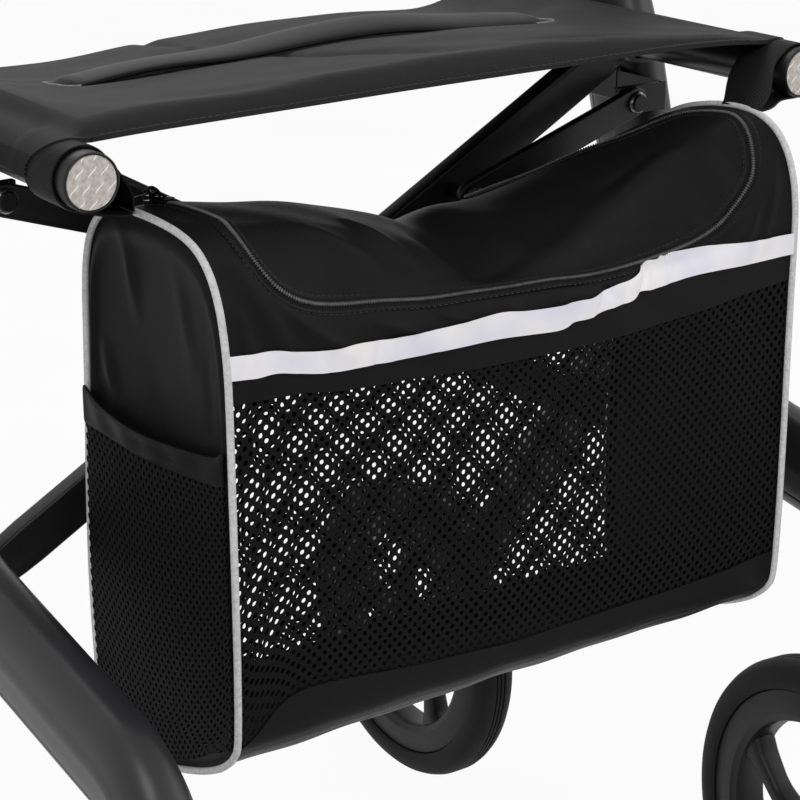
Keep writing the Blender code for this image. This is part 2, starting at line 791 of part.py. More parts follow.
def front_wheel(side, wheel, tyre):
    """Caster: bearing ring, fork with its stem, wheel, tyre and axle, turned to the rest swivel."""
    name = SIDE_NAMES[side]
    stem = Vector((side * FRAME_X, STEM_Y, 0))
    seat = HEAD_BOTTOM_Z - GAP
    ring = [
        (STEM_RADIUS + GAP, 0.0),
        (BEARING_RADIUS, 0.0),
        (BEARING_RADIUS, -BEARING_HEIGHT + 0.002),
        (BEARING_RADIUS - 0.002, -BEARING_HEIGHT),
        (STEM_RADIUS + GAP, -BEARING_HEIGHT),
    ]
    obj = turned("bearing", ring, stem + Vector((0, 0, seat)), (0, 0, 1), 16, closed=True)
    finish(obj, f"head_bearing_{name}", "steel", stem + Vector((0, 0, seat)))

    turn = Matrix.Translation(stem) @ Matrix.Rotation(-side * CASTER_SWIVEL, 4, "Z")
    crown_top = seat - BEARING_HEIGHT - GAP
    inner = TYRE_WIDTH / 2 + FORK_CLEARANCE
    outer = inner + FORK_PLATE
    crown = box(
        "crown",
        (-outer + 0.0005, -FORK_CROWN_LENGTH / 2, crown_top - FORK_CROWN),
        (outer - 0.0005, FORK_CROWN_LENGTH / 2, crown_top),
        0.003,
    )
    crown.matrix_world = turn
    axle_place = (TRAIL, WHEEL_RADIUS)
    top_half, foot_half = FORK_TOP_WIDTH / 2, FORK_FOOT_WIDTH / 2
    outline = [(-top_half, crown_top - 0.001), (top_half, crown_top - 0.001)]
    outline += [(top_half + 0.010, crown_top - 0.045)]
    outline += arc(axle_place, foot_half, math.radians(30), math.radians(-150), 7)
    outline += [(-top_half + 0.012, crown_top - 0.060)]
    legs = []
    for at in (-1, 1):
        leg = plate("leg", outline, FORK_PLATE, (0, 0, 0), "X")
        leg.matrix_world = turn @ Matrix.Translation((at * (inner + FORK_PLATE / 2), 0, 0)) @ leg.matrix_world
        legs.append(leg)
    stem_post = cylinder("post", STEM_RADIUS, (0, 0, crown_top - 0.004), (0, 0, HEAD_BOTTOM_Z + STEM_LENGTH))
    stem_post.matrix_world = turn
    hole = cylinder(
        "hole", AXLE_RADIUS + GAP, (-outer * 2, TRAIL, WHEEL_RADIUS), (outer * 2, TRAIL, WHEEL_RADIUS), 16
    )
    hole.matrix_world = turn
    join(crown, *legs, stem_post)
    cut(crown, hole)
    finish(crown, f"caster_fork_{name}", "black_metal", stem + Vector((0, 0, crown_top)))

    centre = swivelled((side * FRAME_X, STEM_Y + TRAIL, WHEEL_RADIUS), side)
    keep(wheel, f"front_wheel_{name}", centre, -side * CASTER_SWIVEL)
    keep(tyre, f"front_tyre_{name}", centre, -side * CASTER_SWIVEL)
    out = Matrix.Rotation(-side * CASTER_SWIVEL, 3, "Z") @ Vector((1, 0, 0))
    axle(f"front_axle_{name}", centre, out, outer, outer)


def axle(name, centre, out, behind, ahead):
    """Axle bolt through a wheel, with a round head outside each face that it holds."""
    shaft = cylinder("shaft", AXLE_RADIUS, centre - out * (behind + GAP + 0.001), centre + out * (ahead + GAP + 0.001), 12)
    heads = [
        cylinder(
            "head",
            AXLE_HEAD_RADIUS,
            centre + way * (reach + GAP),
            centre + way * (reach + GAP + AXLE_HEAD),
            12,
            AXLE_HEAD_RADIUS * 0.75,
        )
        for way, reach in ((out, ahead), (-out, behind))
    ]
    join(shaft, *heads)
    finish(shaft, name, "steel", centre)


def rear_wheel(side, wheel, tyre):
    """Rear wheel on the inner side of the rear leg, with its axle bolt."""
    name = SIDE_NAMES[side]
    centre = Vector((side * REAR_WHEEL_X, REAR_AXLE_Y, WHEEL_RADIUS))
    keep(wheel, f"rear_wheel_{name}", centre)
    keep(tyre, f"rear_tyre_{name}", centre)
    out = Vector((side, 0, 0))
    ahead = FRAME_X - REAR_WHEEL_X + REAR_LEG_FOOT_WIDTH / 2 + 0.0005
    axle(f"rear_axle_{name}", centre, out, HUB_WIDTH / 2, ahead)


def shoe_frame():
    """Axes at the rear brake: away from the axle along the leg, and square to it towards the rear."""
    axle_place = np.array((REAR_AXLE_Y, WHEEL_RADIUS))
    out = np.array(REAR_LEG_WAIST) - axle_place
    out /= np.linalg.norm(out)
    return axle_place, out, np.array((out[1], -out[0]))


def brake_shoe(side):
    """Brake shoe over the rear tyre, on an arm that turns on a pin in the rear leg."""
    axle_place, out, back = shoe_frame()
    x = side * REAR_WHEEL_X
    pivot = axle_place + out * (WHEEL_RADIUS + SHOE_PIVOT_CLEAR)
    pad = axle_place + out * (WHEEL_RADIUS + SHOE_GAP) + back * SHOE_REACH
    reach = math.hypot(*(pad - axle_place))
    toward = (pad - axle_place) / reach
    pad = axle_place + toward * (WHEEL_RADIUS + SHOE_GAP + SHOE_HEIGHT / 2)
    block = box(
        "pad",
        (-SHOE_WIDTH / 2, -SHOE_LENGTH / 2, -SHOE_HEIGHT / 2),
        (SHOE_WIDTH / 2, SHOE_LENGTH / 2, SHOE_HEIGHT / 2),
        0.0015,
    )
    tilt = math.atan2(toward[1], toward[0]) - math.pi / 2
    block.matrix_world = Matrix.Translation((x, *pad)) @ Matrix.Rotation(tilt, 4, "X")
    arm_path = [tuple(pivot + (pad - pivot) * t) for t in (0.0, 0.5, 1.0)]
    arm = sweep("arm", arm_path, [0.006] * 3, [0.0065, 0.006, 0.0045], x, 8, 3.0)
    inner = side * (REAR_WHEEL_X - 0.006)
    pin_start = inner + side * 0.002
    pin = cylinder("pin", SHOE_PIN_RADIUS, (pin_start, *pivot), (side * (FRAME_X - GAP), *pivot), 12)
    boss = cylinder("boss", 0.0072, (inner, *pivot), (side * (REAR_WHEEL_X + 0.008), *pivot), 14)
    join(block, arm, boss, pin)
    finish(block, f"brake_shoe_{SIDE_NAMES[side]}", "black_plastic", (x, *pivot))


def bar_outline():
    """Brace bar in its own plane: eye at the lower pivot, tapering out to full depth."""
    half = BAR_DEPTH / 2
    length = 2 * HALF_BAR
    outline = arc((0, 0), BAR_EYE_RADIUS, math.radians(90), math.radians(270), 7)
    outline += [(BAR_TAPER, -half), (length - BAR_TAPER, -half), (length, -half * 0.7)]
    outline += [(length, half * 0.7), (length - BAR_TAPER, half), (BAR_TAPER, half)]
    return outline


def brace_bar(side, name):
    """Bar from the lower pivot on one side to the seat rail on the other; side is its foot's side."""
    y = BRACE_Y + side * BAR_Y
    foot = Vector((side * RAIL_X, y, PIVOT_Z))
    bar = plate("bar", bar_outline(), BAR_THICKNESS, (0, 0, 0), "Y")
    angle = BRACE_ANGLE if side == LEFT else math.pi - BRACE_ANGLE
    bar.matrix_world = Matrix.Translation(foot) @ Matrix.Rotation(-angle, 4, "Y") @ bar.matrix_world
    rail = Vector((-side * RAIL_X, y, RAIL_Z))
    along = Vector((0, 1, 0))
    collar = cylinder("collar", COLLAR_RADIUS, rail - along * COLLAR_LENGTH / 2, rail + along * COLLAR_LENGTH / 2, 20)
    rail_bore = cylinder("rail bore", RAIL_RADIUS + GAP, rail - along * 0.05, rail + along * 0.05, 20)
    centre = Vector((0, y, CENTRE_Z))
    bolt_bore = cylinder("bolt bore", BRACE_BOLT_RADIUS + GAP, centre - along * 0.02, centre + along * 0.02, 20)
    foot_bore = cylinder("foot bore", PIVOT_RADIUS + GAP, foot - along * 0.02, foot + along * 0.02, 20)
    above = RAIL_Z - SADDLE_DROP
    low = rail + Vector((-COLLAR_RADIUS * 2, -COLLAR_LENGTH, above - RAIL_Z))
    top_half = box("top half", low, rail + Vector((COLLAR_RADIUS * 2, COLLAR_LENGTH, COLLAR_RADIUS * 2)))
    join(bar, collar)
    cut(bar, top_half, rail_bore, bolt_bore, foot_bore)
    finish(bar, name, "black_metal", foot)


def brace_fasteners():
    """Centre bolt with a domed head in front, and its nut behind."""
    front = BRACE_Y - BAR_THICKNESS - 2 * GAP
    back = BRACE_Y + BAR_THICKNESS + 2 * GAP
    shaft = cylinder("shaft", BRACE_BOLT_RADIUS, (0, front - 0.001, CENTRE_Z), (0, back + NUT_HEIGHT + 0.001, CENTRE_Z), 14)
    dome = [(0.0, BOLT_HEAD)]
    dome += [
        (BOLT_HEAD_RADIUS * math.sin(a), BOLT_HEAD * (0.2 + 0.8 * math.cos(a)))
        for a in np.linspace(math.radians(30), math.radians(90), 3)
    ]
    dome += [(BOLT_HEAD_RADIUS, 0.0), (0.0, 0.0)]
    head = turned("head", dome, (0, front, CENTRE_Z), (0, -1, 0), 20)
    join(shaft, head)
    finish(shaft, "brace_bolt", "black_metal", (0, front, CENTRE_Z))
    nut = cylinder("nut", NUT_RADIUS, (0, back, CENTRE_Z), (0, back + NUT_HEIGHT, CENTRE_Z), 6)
    bore = cylinder("bore", BRACE_BOLT_RADIUS + GAP, (0, back - 0.01, CENTRE_Z), (0, back + 0.02, CENTRE_Z), 20)
    cut(nut, bore)
    finish(nut, "brace_nut", "black_metal", (0, back, CENTRE_Z), 20)


def lower_bracket(side):
    """Clevis on the inner face of the side frame with the brace bar's lower pivot pin."""
    face = FRAME_INNER_X - GAP
    y = BRACE_Y + side * BAR_Y
    low = (side * face, BRACE_Y - BRACKET_HALF_LENGTH, BRACKET_BOTTOM_Z)
    high = (side * (face - BRACKET_PLATE), BRACE_Y + BRACKET_HALF_LENGTH, BRACKET_TOP_Z)
    body = box("plate", np.minimum(low, high), np.maximum(low, high), 0.0015)
    ears = []
    for way in (-1, 1):
        centre_y = y + way * (BAR_THICKNESS / 2 + GAP + EAR_THICKNESS / 2)
        root = face - BRACKET_PLATE / 2
        outline = [(root, PIVOT_Z + 0.016), (root, PIVOT_Z - 0.012)]
        outline += arc((RAIL_X, PIVOT_Z), BAR_EYE_RADIUS, math.radians(-100), math.radians(-260), 6)
        outline = [(side * a, b) for a, b in outline]
        ears.append(plate("ear", outline, EAR_THICKNESS, (0, centre_y, 0), "Y"))
    half = BAR_THICKNESS / 2 + GAP + EAR_THICKNESS / 2
    pin = cylinder("pin", PIVOT_RADIUS, (side * RAIL_X, y - half, PIVOT_Z), (side * RAIL_X, y + half, PIVOT_Z), 20)
    join(body, *ears, pin)
    finish(body, f"lower_bracket_{SIDE_NAMES[side]}", "black_metal", (side * RAIL_X, y, PIVOT_Z))


def link_bracket(side):
    """Arm from the inner face of the upright forward to the stabiliser link's pivot."""
    face = FRAME_INNER_X - GAP
    y_back = upright_y(LINK_Z)
    y_front = LINK_Y + LINK_THICKNESS / 2 + GAP
    low = (side * face, y_back - 0.016, LINK_Z - 0.0105)
    high = (side * (face - BRACKET_PLATE), y_back + 0.010, LINK_Z + 0.0105)
    foot = box("foot", np.minimum(low, high), np.maximum(low, high), 0.001)
    low = (side * (face - 0.0005), y_front, LINK_Z - 0.009)
    high = (side * (face - BRACKET_PLATE + 0.0005), y_back - 0.012, LINK_Z + 0.009)
    arm = box("arm", np.minimum(low, high), np.maximum(low, high), 0.0)
    low = (side * (face - 0.0007), y_front - 0.0002, LINK_Z - 0.0085)
    high = (side * (LINK_X - 0.009), y_front + EAR_THICKNESS, LINK_Z + 0.0085)
    tongue = box("tongue", np.minimum(low, high), np.maximum(low, high), 0.0)
    pin = cylinder(
        "pin",
        LINK_PIN_RADIUS,
        (side * LINK_X, y_front + 0.002, LINK_Z),
        (side * LINK_X, LINK_Y - LINK_THICKNESS / 2 - GAP - 0.001, LINK_Z),
        16,
    )
    front = LINK_Y - LINK_THICKNESS / 2 - GAP
    head_end = (side * LINK_X, front - 0.004, LINK_Z)
    head = cylinder("head", BOLT_HEAD_RADIUS, (side * LINK_X, front, LINK_Z), head_end, 12, 0.005)
    join(foot, arm, tongue, pin, head)
    finish(foot, f"link_bracket_{SIDE_NAMES[side]}", "black_metal", (side * LINK_X, LINK_Y, LINK_Z))


def link_foot(side):
    """Where the link meets the brace bar that rises to its own side."""
    s = HALF_BAR + LINK_FOOT_S
    return Vector((side * LINK_FOOT_S * math.cos(BRACE_ANGLE), LINK_Y, PIVOT_Z + s * math.sin(BRACE_ANGLE)))


def stabiliser_link(side):
    """Flat link from the bracket to the brace bar, with the bolt that faces the bar."""
    foot = link_foot(side)
    start = Vector((side * LINK_X, LINK_Y, LINK_Z))
    run = foot - start
    half = LINK_DEPTH / 2
    outline = arc((0, 0), half, math.radians(90), math.radians(270), 7)
    outline += arc((run.length, 0), half, math.radians(-90), math.radians(90), 7)
    bar = plate("link", outline, LINK_THICKNESS, (0, 0, 0), "Y")
    angle = math.atan2(run.z, run.x)
    bar.matrix_world = Matrix.Translation(start) @ Matrix.Rotation(-angle, 4, "Y") @ bar.matrix_world
    along = Vector((0, 1, 0))
    bore = cylinder("bore", LINK_PIN_RADIUS + GAP, start - along * 0.01, start + along * 0.01, 12)
    bar_face = BRACE_Y - side * BAR_Y - BAR_THICKNESS / 2 - GAP
    front = LINK_Y - LINK_THICKNESS / 2
    bolt = cylinder("bolt", LINK_PIN_RADIUS, foot - along * 0.002, (foot.x, bar_face, foot.z), 12)
    head_end = (foot.x, front - 0.003, foot.z)
    head = cylinder("head", BOLT_HEAD_RADIUS, (foot.x, front + 0.001, foot.z), head_end, 12, 0.0055)
    join(bar, bolt, head)
    cut(bar, bore)
    finish(bar, f"link_{SIDE_NAMES[side]}", "black_metal", start)


def seat_rail(side):
    """Rail under the seat's edge, its front cap and the round reflector in the cap."""
    name = SIDE_NAMES[side]
    x = side * RAIL_X
    front = RAIL_FRONT_Y + CAP_LENGTH
    rail = cylinder("rail", RAIL_RADIUS, (x, front + GAP, RAIL_Z), (x, RAIL_REAR_Y, RAIL_Z), 20)
    finish(rail, f"seat_rail_{name}", "black_metal", (x, 0, RAIL_Z))
    recess = DISC_THICKNESS + DISC_RECESS
    ring = [
        (0.0, CAP_LENGTH - recess - GAP),
        (DISC_RADIUS + GAP, CAP_LENGTH - recess - GAP),
        (DISC_RADIUS + GAP, CAP_LENGTH),
        (CAP_RADIUS - 0.0006, CAP_LENGTH),
        (CAP_RADIUS, CAP_LENGTH - 0.0006),
        (CAP_RADIUS, 0.0015),
        (CAP_RADIUS - 0.001, 0.0),
        (0.0, 0.0),
    ]
    cap = turned("cap", ring, (x, front, RAIL_Z), (0, -1, 0), 20)
    finish(cap, f"rail_cap_{name}", "black_plastic", (x, front, RAIL_Z))
    disc_back = RAIL_FRONT_Y + recess
    disc = cylinder("disc", DISC_RADIUS, (x, disc_back, RAIL_Z), (x, disc_back - DISC_THICKNESS, RAIL_Z), 20)
    finish(disc, f"reflector_{name}", "reflector", (x, disc_back, RAIL_Z))


def rail_cradle(side):
    """Saddle on the upright that the open seat rail drops into."""
    face = FRAME_INNER_X - GAP
    y = upright_y(RAIL_Z)
    low_x = RAIL_X - RAIL_RADIUS * 0.8
    low = (side * face, y - CRADLE_LENGTH / 2, RAIL_Z - CRADLE_DEPTH)
    high = (side * low_x, y + CRADLE_LENGTH / 2, RAIL_Z - RAIL_RADIUS * 0.35)
    block = box("saddle", np.minimum(low, high), np.maximum(low, high), 0.001)
    trough = cylinder(
        "trough",
        RAIL_RADIUS + GAP,
        (side * RAIL_X, y - CRADLE_LENGTH, RAIL_Z),
        (side * RAIL_X, y + CRADLE_LENGTH, RAIL_Z),
        28,
    )
    cut(block, trough)
    finish(block, f"rail_cradle_{SIDE_NAMES[side]}", "black_plastic", (side * RAIL_X, y, RAIL_Z - CRADLE_DEPTH))


def seat_height(x, y):
    """Top of the seat: a crown that falls to the rear, rolled hems and the channel under the strap."""
    inner = RAIL_X - RAIL_RADIUS
    u = np.clip(np.abs(x) / inner, 0, 1)
    top = RAIL_Z + RAIL_RADIUS + GAP + SEAT_WRAP + SEAT_CROWN
    depth = (y - SEAT_FRONT_Y) / (SEAT_REAR_Y - SEAT_FRONT_Y)
    rise = SEAT_RISE * (1 - u**2)
    edge = np.minimum(y - SEAT_FRONT_Y, SEAT_REAR_Y - y)
    roll = SEAT_CROWN * np.exp(-np.maximum(edge, 0) / 0.006)
    middle = (SEAT_FRONT_Y + SEAT_REAR_Y) / 2
    channel = SEAT_CHANNEL_DEPTH * np.exp(-(((y - middle) / SEAT_CHANNEL_WIDTH) ** 2)) * (u < 0.85)
    return top + rise - SEAT_REAR_DROP * depth * (1 - u**8) - roll * (u < 0.97) - channel


def seat_section(y):
    """Loop of the sling at one depth: over one rail, across, over the other and back underneath."""
    wrap = np.linspace(SEAT_WRAP_END, math.pi / 2, 5)
    inner_r = (RAIL_RADIUS + GAP) / math.cos((wrap[1] - wrap[0]) / 2)
    outer_r = inner_r + SEAT_WRAP
    outer = [(RAIL_X + outer_r * math.cos(a), RAIL_Z + outer_r * math.sin(a)) for a in wrap]
    inner = [(RAIL_X + inner_r * math.cos(a), RAIL_Z + inner_r * math.sin(a)) for a in wrap]
    inside = RAIL_X - RAIL_RADIUS
    for x in (inside, inside - 0.012, 0.17, 0.12, 0.07, 0.025):
        top = float(seat_height(np.array(x), np.array(y)))
        outer.append((x, top))
        under = RAIL_Z + inner_r * 0.75 if x == inside else top - SEAT_THICKNESS
        inner.append((x, under))
    loop = outer + [(-a, b) for a, b in reversed(outer)]
    loop += [(-a, b) for a, b in inner] + list(reversed(inner))
    return [(a, y, b) for a, b in loop]


def seat():
    """Padded sling with its channel, its sides wrapped over the rails."""
    depth = SEAT_REAR_Y - SEAT_FRONT_Y
    middle = (SEAT_FRONT_Y + SEAT_REAR_Y) / 2
    stops = [SEAT_FRONT_Y, SEAT_FRONT_Y + 0.006, SEAT_FRONT_Y + 0.016, SEAT_FRONT_Y + depth * 0.25]
    stops += [middle - 0.020, middle, middle + 0.020]
    stops += [SEAT_REAR_Y - depth * 0.25, SEAT_REAR_Y - 0.016, SEAT_REAR_Y - 0.006, SEAT_REAR_Y]
    sling = loft("sling", [seat_section(y) for y in stops])
    finish(sling, "seat_sling", "seat_cloth", (RAIL_X, 0, RAIL_Z))


def seat_strap():
    """Pull strap along the channel, its ends on the seat and its middle raised."""
    middle = (SEAT_FRONT_Y + SEAT_REAR_Y) / 2
    stations = np.linspace(-STRAP_HALF_LENGTH, STRAP_HALF_LENGTH, 13)
    half = STRAP_WIDTH / 2
    across = np.array([middle - half, middle, middle + half])
    ground = np.array([seat_height(np.full(3, x), across).max() for x in stations])
    rise = STRAP_RISE * (1 - (stations / STRAP_HALF_LENGTH) ** 6)
    bottom = ground + GAP + rise * 0.6
    outline = [(x, z) for x, z in zip(stations, bottom)]
    outline += [(x, z + STRAP_THICKNESS) for x, z in zip(stations[::-1], bottom[::-1])]
    strap = plate("strap", outline, STRAP_WIDTH, (0, middle, 0), "Y")
    finish(strap, "seat_pull_strap", "webbing", (0, middle, RAIL_Z))


def bag_loop(half_width, front, back, corner, heights):
    """Loop of the bag seen from above, symmetric front to back about its middle."""
    xs = np.concatenate([[-half_width], np.linspace(-half_width + corner, half_width - corner, LOOP_RUN - 2), [half_width]])
    inset = corner * (1 - math.sqrt(0.5))
    loop = []
    for way, y in ((1, front), (-1, back)):
        for x in xs[::way]:
            end = abs(x) > half_width - corner * 0.5
            at_x = math.copysign(half_width - inset, x) if end else x
            at_y = y + way * inset if end else y
            loop.append((at_x, at_y))
        side = half_width * way
        for t in LOOP_SIDE:
            start, stop = (front, back) if way == 1 else (back, front)
            loop.append((side, start + (stop - start) * t))
    return [(x, y, heights(x, y)) for x, y in loop]


def shell_of_rings(name, rings, bridge):
    """Open surface through rings, its last ring closed by a strip of quads front to back."""
    sides = len(rings[0])
    points = [p for ring in rings for p in ring]
    faces = []
    for i in range(len(rings) - 1):
        for j in range(sides):
            k = (j + 1) % sides
            faces.append((i * sides + j, i * sides + k, (i + 1) * sides + k, (i + 1) * sides + j))
    last = (len(rings) - 1) * sides
    for a, b, c, d in bridge:
        faces.append(tuple(last + i for i in dict.fromkeys((a, b, c, d))))
    return raw_object(name, mesh_from(name, points, faces))


def bag_bridge():
    """Quads between the front and back runs of a bag loop, and a face for each end."""
    run, side = LOOP_RUN, len(LOOP_SIDE)
    front = list(range(run))
    back = [run + side + (run - 1 - i) for i in range(run)]
    quads = [(front[i], front[i + 1], back[i + 1], back[i]) for i in range(run - 1)]
    right = [front[-1]] + [run + i for i in range(side)] + [back[-1]]
    left = [back[0]] + [2 * run + side + i for i in range(side)] + [front[0]]
    return quads, tuple(right), tuple(left)


def closed_bag_shell(name, rings, surface, pivot):
    quads, right, left = bag_bridge()
    shell = shell_of_rings(name, rings, quads)
    mesh = shell.data
    work = bmesh.new()
    work.from_mesh(mesh)
    work.verts.ensure_lookup_table()
    last = (len(rings) - 1) * len(rings[0])
    for fan in (right, left):
        work.faces.new([work.verts[last + i] for i in fan])
    bmesh.ops.recalc_face_normals(work, faces=work.faces)
    work.to_mesh(mesh)
    work.free()
    wall = shell.modifiers.new("Wall", "SOLIDIFY")
    wall.thickness = BAG_WALL
    wall.offset = -1.0
    wall.use_even_offset = True
    finish(shell, name, surface, pivot)


def bag():
    """Bag: tub with an open mouth, its floor lower at the back, and an arched, sagging lid with a zip slider."""
    middle = (BAG_FRONT_Y + BAG_BACK_Y) / 2
    half = BAG_HALF_WIDTH
    depth = BAG_BACK_Y - BAG_FRONT_Y
    rings = []
    for z, inset in ((BAG_MOUTH_Z, 0.0), (0.50, 0.0), (0.42, 0.001), (0.36, 0.003), (0.335, 0.004)):
        rings.append(
            bag_loop(half - inset, BAG_FRONT_Y + inset, BAG_BACK_Y - inset, BAG_CORNER, lambda x, y, z=z: z)
        )

    def floor_height(rise):
        def height(x, y):
            return BAG_BOTTOM_Z + rise - BAG_REAR_DROP * (y - BAG_FRONT_Y) / depth

        return height

    for rise, inset in ((0.003, BAG_TAPER), (0.0, BAG_TAPER + 0.006)):
        rings.append(
            bag_loop(half - inset, BAG_FRONT_Y + inset, BAG_BACK_Y - inset, BAG_CORNER, floor_height(rise))
        )
    closed_bag_shell("bag_body", rings, "bag_cloth", (RAIL_X, middle, RAIL_Z))

    def lid_height(t):
        def height(x, y):
            u = min(abs(x) / half, 1.0)
            top = BAG_TOP_Z - LID_SAG * (1 - u**2) ** 1.5
            return BAG_MOUTH_Z + 2 * GAP + (top - BAG_MOUTH_Z) * t

        return height

    rings = []
    for t in (0.0, 0.04, 0.35, 0.65, 0.9, 1.0):
        shrink = depth / 2 * (1 - math.sqrt(max(0.0, 1 - t**2.5)) * 0.75 - 0.25)
        rings.append(
            bag_loop(half, BAG_FRONT_Y + shrink, BAG_BACK_Y - shrink, BAG_CORNER * (1 - 0.7 * t**3), lid_height(t))
        )
    closed_bag_shell("bag_lid", rings, "bag_cloth", (RAIL_X, middle, RAIL_Z))

    x = -half + 0.030
    top = lid_height(1.0)(x, middle)
    y = BAG_FRONT_Y + depth * 0.5
    slider = box(
        "slider",
        (x - SLIDER_WIDTH / 2, y - SLIDER_LENGTH / 2, top + GAP * 2),
        (x + SLIDER_WIDTH / 2, y + SLIDER_LENGTH / 2, top + GAP * 2 + SLIDER_THICKNESS),
        0.0008,
    )
    finish(slider, "zip_slider", "black_metal", (x, y, top))


def webbing_loop(side, y, name):
    """Webbing round the rail in front of the seat, with a tail that lies on the end of the bag's lid."""
    x = side * RAIL_X
    radius = RAIL_RADIUS + GAP
    outer = radius + WEBBING_THICKNESS
    ring = cylinder("ring", outer, (x, y - WEBBING_LOOP_WIDTH, RAIL_Z), (x, y, RAIL_Z), 20)
    hole = cylinder("hole", radius, (x, y - 0.05, RAIL_Z), (x, y + 0.05, RAIL_Z), 20)
    start = (side * (RAIL_X - 0.006), RAIL_Z - outer + 0.0016)
    end = (side * (BAG_HALF_WIDTH - WEBBING_LAP), BAG_TOP_Z + WEBBING_THICKNESS / 2)
    run = Vector(end) - Vector(start)
    normal = Vector((-run.y, run.x)).normalized() * WEBBING_THICKNESS / 2
    corners = [Vector(start) + normal, Vector(end) + normal, Vector(end) - normal, Vector(start) - normal]
    tail = plate("tail", [tuple(c) for c in corners], WEBBING_WIDTH, (0, y - WEBBING_LOOP_WIDTH + WEBBING_WIDTH / 2, 0), "Y")
    join(ring, tail)
    cut(ring, hole)
    finish(ring, name, "webbing", (x, y, RAIL_Z))


def centre_footprint():
    """Put the origin on the floor in the middle of the whole rollator's box."""
    bpy.context.view_layer.update()
    corners = [piece.matrix_world @ Vector(c) for piece in PARTS.objects for c in piece.bound_box]
    shift = [(min(c[i] for c in corners) + max(c[i] for c in corners)) / 2 for i in (0, 1)]
    for piece in PARTS.objects:
        piece.location -= Vector((*shift, 0.0))


def build():
    wheel, tyre = wheel_mesh(), tyre_mesh()
    for side in (RIGHT, LEFT):
        name = SIDE_NAMES[side]
        side_frame(side)
        handle(side)
        height_knob(side)
        front_wheel(side, wheel, tyre)
        rear_wheel(side, wheel, tyre)
        brake_shoe(side)
        lower_bracket(side)
        link_bracket(side)
        stabiliser_link(side)
        seat_rail(side)
        rail_cradle(side)
        webbing_loop(side, FRONT_WEBBING_Y, f"front_webbing_{name}")
    brace_bar(LEFT, "brace_bar_front")
    brace_bar(RIGHT, "brace_bar_rear")
    brace_fasteners()
    seat()
    seat_strap()
    bag()
    centre_footprint()


build()
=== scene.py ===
"""Looks of the folding carbon rollator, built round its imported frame.

Run as a script in Blender 4.5. Metres, +Z up, the front of the rollator faces -Y.
"""

import math

import bmesh
import bpy
import numpy as np
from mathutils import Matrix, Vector


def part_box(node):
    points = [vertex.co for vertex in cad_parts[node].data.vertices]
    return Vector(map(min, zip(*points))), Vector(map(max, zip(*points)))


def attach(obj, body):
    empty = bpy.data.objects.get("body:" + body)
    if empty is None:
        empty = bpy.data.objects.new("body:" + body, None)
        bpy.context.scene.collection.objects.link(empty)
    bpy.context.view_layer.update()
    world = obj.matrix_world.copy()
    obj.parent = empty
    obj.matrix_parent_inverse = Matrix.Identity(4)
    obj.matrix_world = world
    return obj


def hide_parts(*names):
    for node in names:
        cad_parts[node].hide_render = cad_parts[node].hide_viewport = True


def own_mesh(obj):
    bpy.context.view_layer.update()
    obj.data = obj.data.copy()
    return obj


bl_info = {
    "name": "Carbon rollator",
    "version": (1, 0, 0),
    "blender": (4, 5, 0),
    "location": "View3D > Sidebar > Rollator",
    "description": "Dresses the packed frame of a folding carbon rollator",
    "category": "Add Mesh",
}

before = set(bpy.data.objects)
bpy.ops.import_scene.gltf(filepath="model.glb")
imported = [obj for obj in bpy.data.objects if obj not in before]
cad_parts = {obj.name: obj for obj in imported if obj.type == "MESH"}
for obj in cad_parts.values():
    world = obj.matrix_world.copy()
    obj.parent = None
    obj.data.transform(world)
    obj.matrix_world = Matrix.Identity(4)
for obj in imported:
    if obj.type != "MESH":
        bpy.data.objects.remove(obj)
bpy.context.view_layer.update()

SIDES = {"left": -1, "right": 1}


# Colours and materials


def linear(code):
    """An sRGB hex code as linear red, green and blue."""
    srgb = [int(code[i : i + 2], 16) / 255 for i in (1, 3, 5)]
    return tuple(c / 12.92 if c <= 0.04045 else ((c + 0.055) / 1.055) ** 2.4 for c in srgb)


def add_node(tree, kind, inputs=None, **settings):
    """Add one node; inputs maps a socket to a value or to the output that feeds it."""
    made = tree.nodes.new(kind)
    for name, value in settings.items():
        setattr(made, name, value)
    for socket, value in (inputs or {}).items():
        if isinstance(value, bpy.types.NodeSocket):
            tree.links.new(value, made.inputs[socket])
        else:
            made.inputs[socket].default_value = value
    return made


def new_surface(name, colour, roughness, **sockets):
    """A Principled material; returns it with its tree and its shader."""
    made = bpy.data.materials.new(name)
    made.use_nodes = True
    shader = made.node_tree.nodes["Principled BSDF"]
    shader.inputs["Base Color"].default_value = (*colour, 1.0)
    shader.inputs["Roughness"].default_value = roughness
    for socket, value in sockets.items():
        shader.inputs[socket.replace("_", " ")].default_value = value
    made.diffuse_color = (*colour, 1.0)
    return made, made.node_tree, shader


def bump(tree, shader, height, strength, distance):
    """Roughen a shader by a height."""
    inputs = {"Strength": strength, "Distance": distance, "Height": height}
    made = add_node(tree, "ShaderNodeBump", inputs)
    tree.links.new(made.outputs["Normal"], shader.inputs["Normal"])


def tint(tree, shader, factor, dark, light, low=0.3, high=0.7):
    """Base colour that goes from dark to light with a factor."""
    ramp = add_node(tree, "ShaderNodeValToRGB", {"Fac": factor})
    ramp.color_ramp.elements[0].position = low
    ramp.color_ramp.elements[0].color = (*dark, 1.0)
    ramp.color_ramp.elements[1].position = high
    ramp.color_ramp.elements[1].color = (*light, 1.0)
    tree.links.new(ramp.outputs["Color"], shader.inputs["Base Color"])
    return ramp


def shade(colour, factor):
    """A colour made darker or lighter by a factor."""
    return tuple(min(1.0, c * factor) for c in colour)


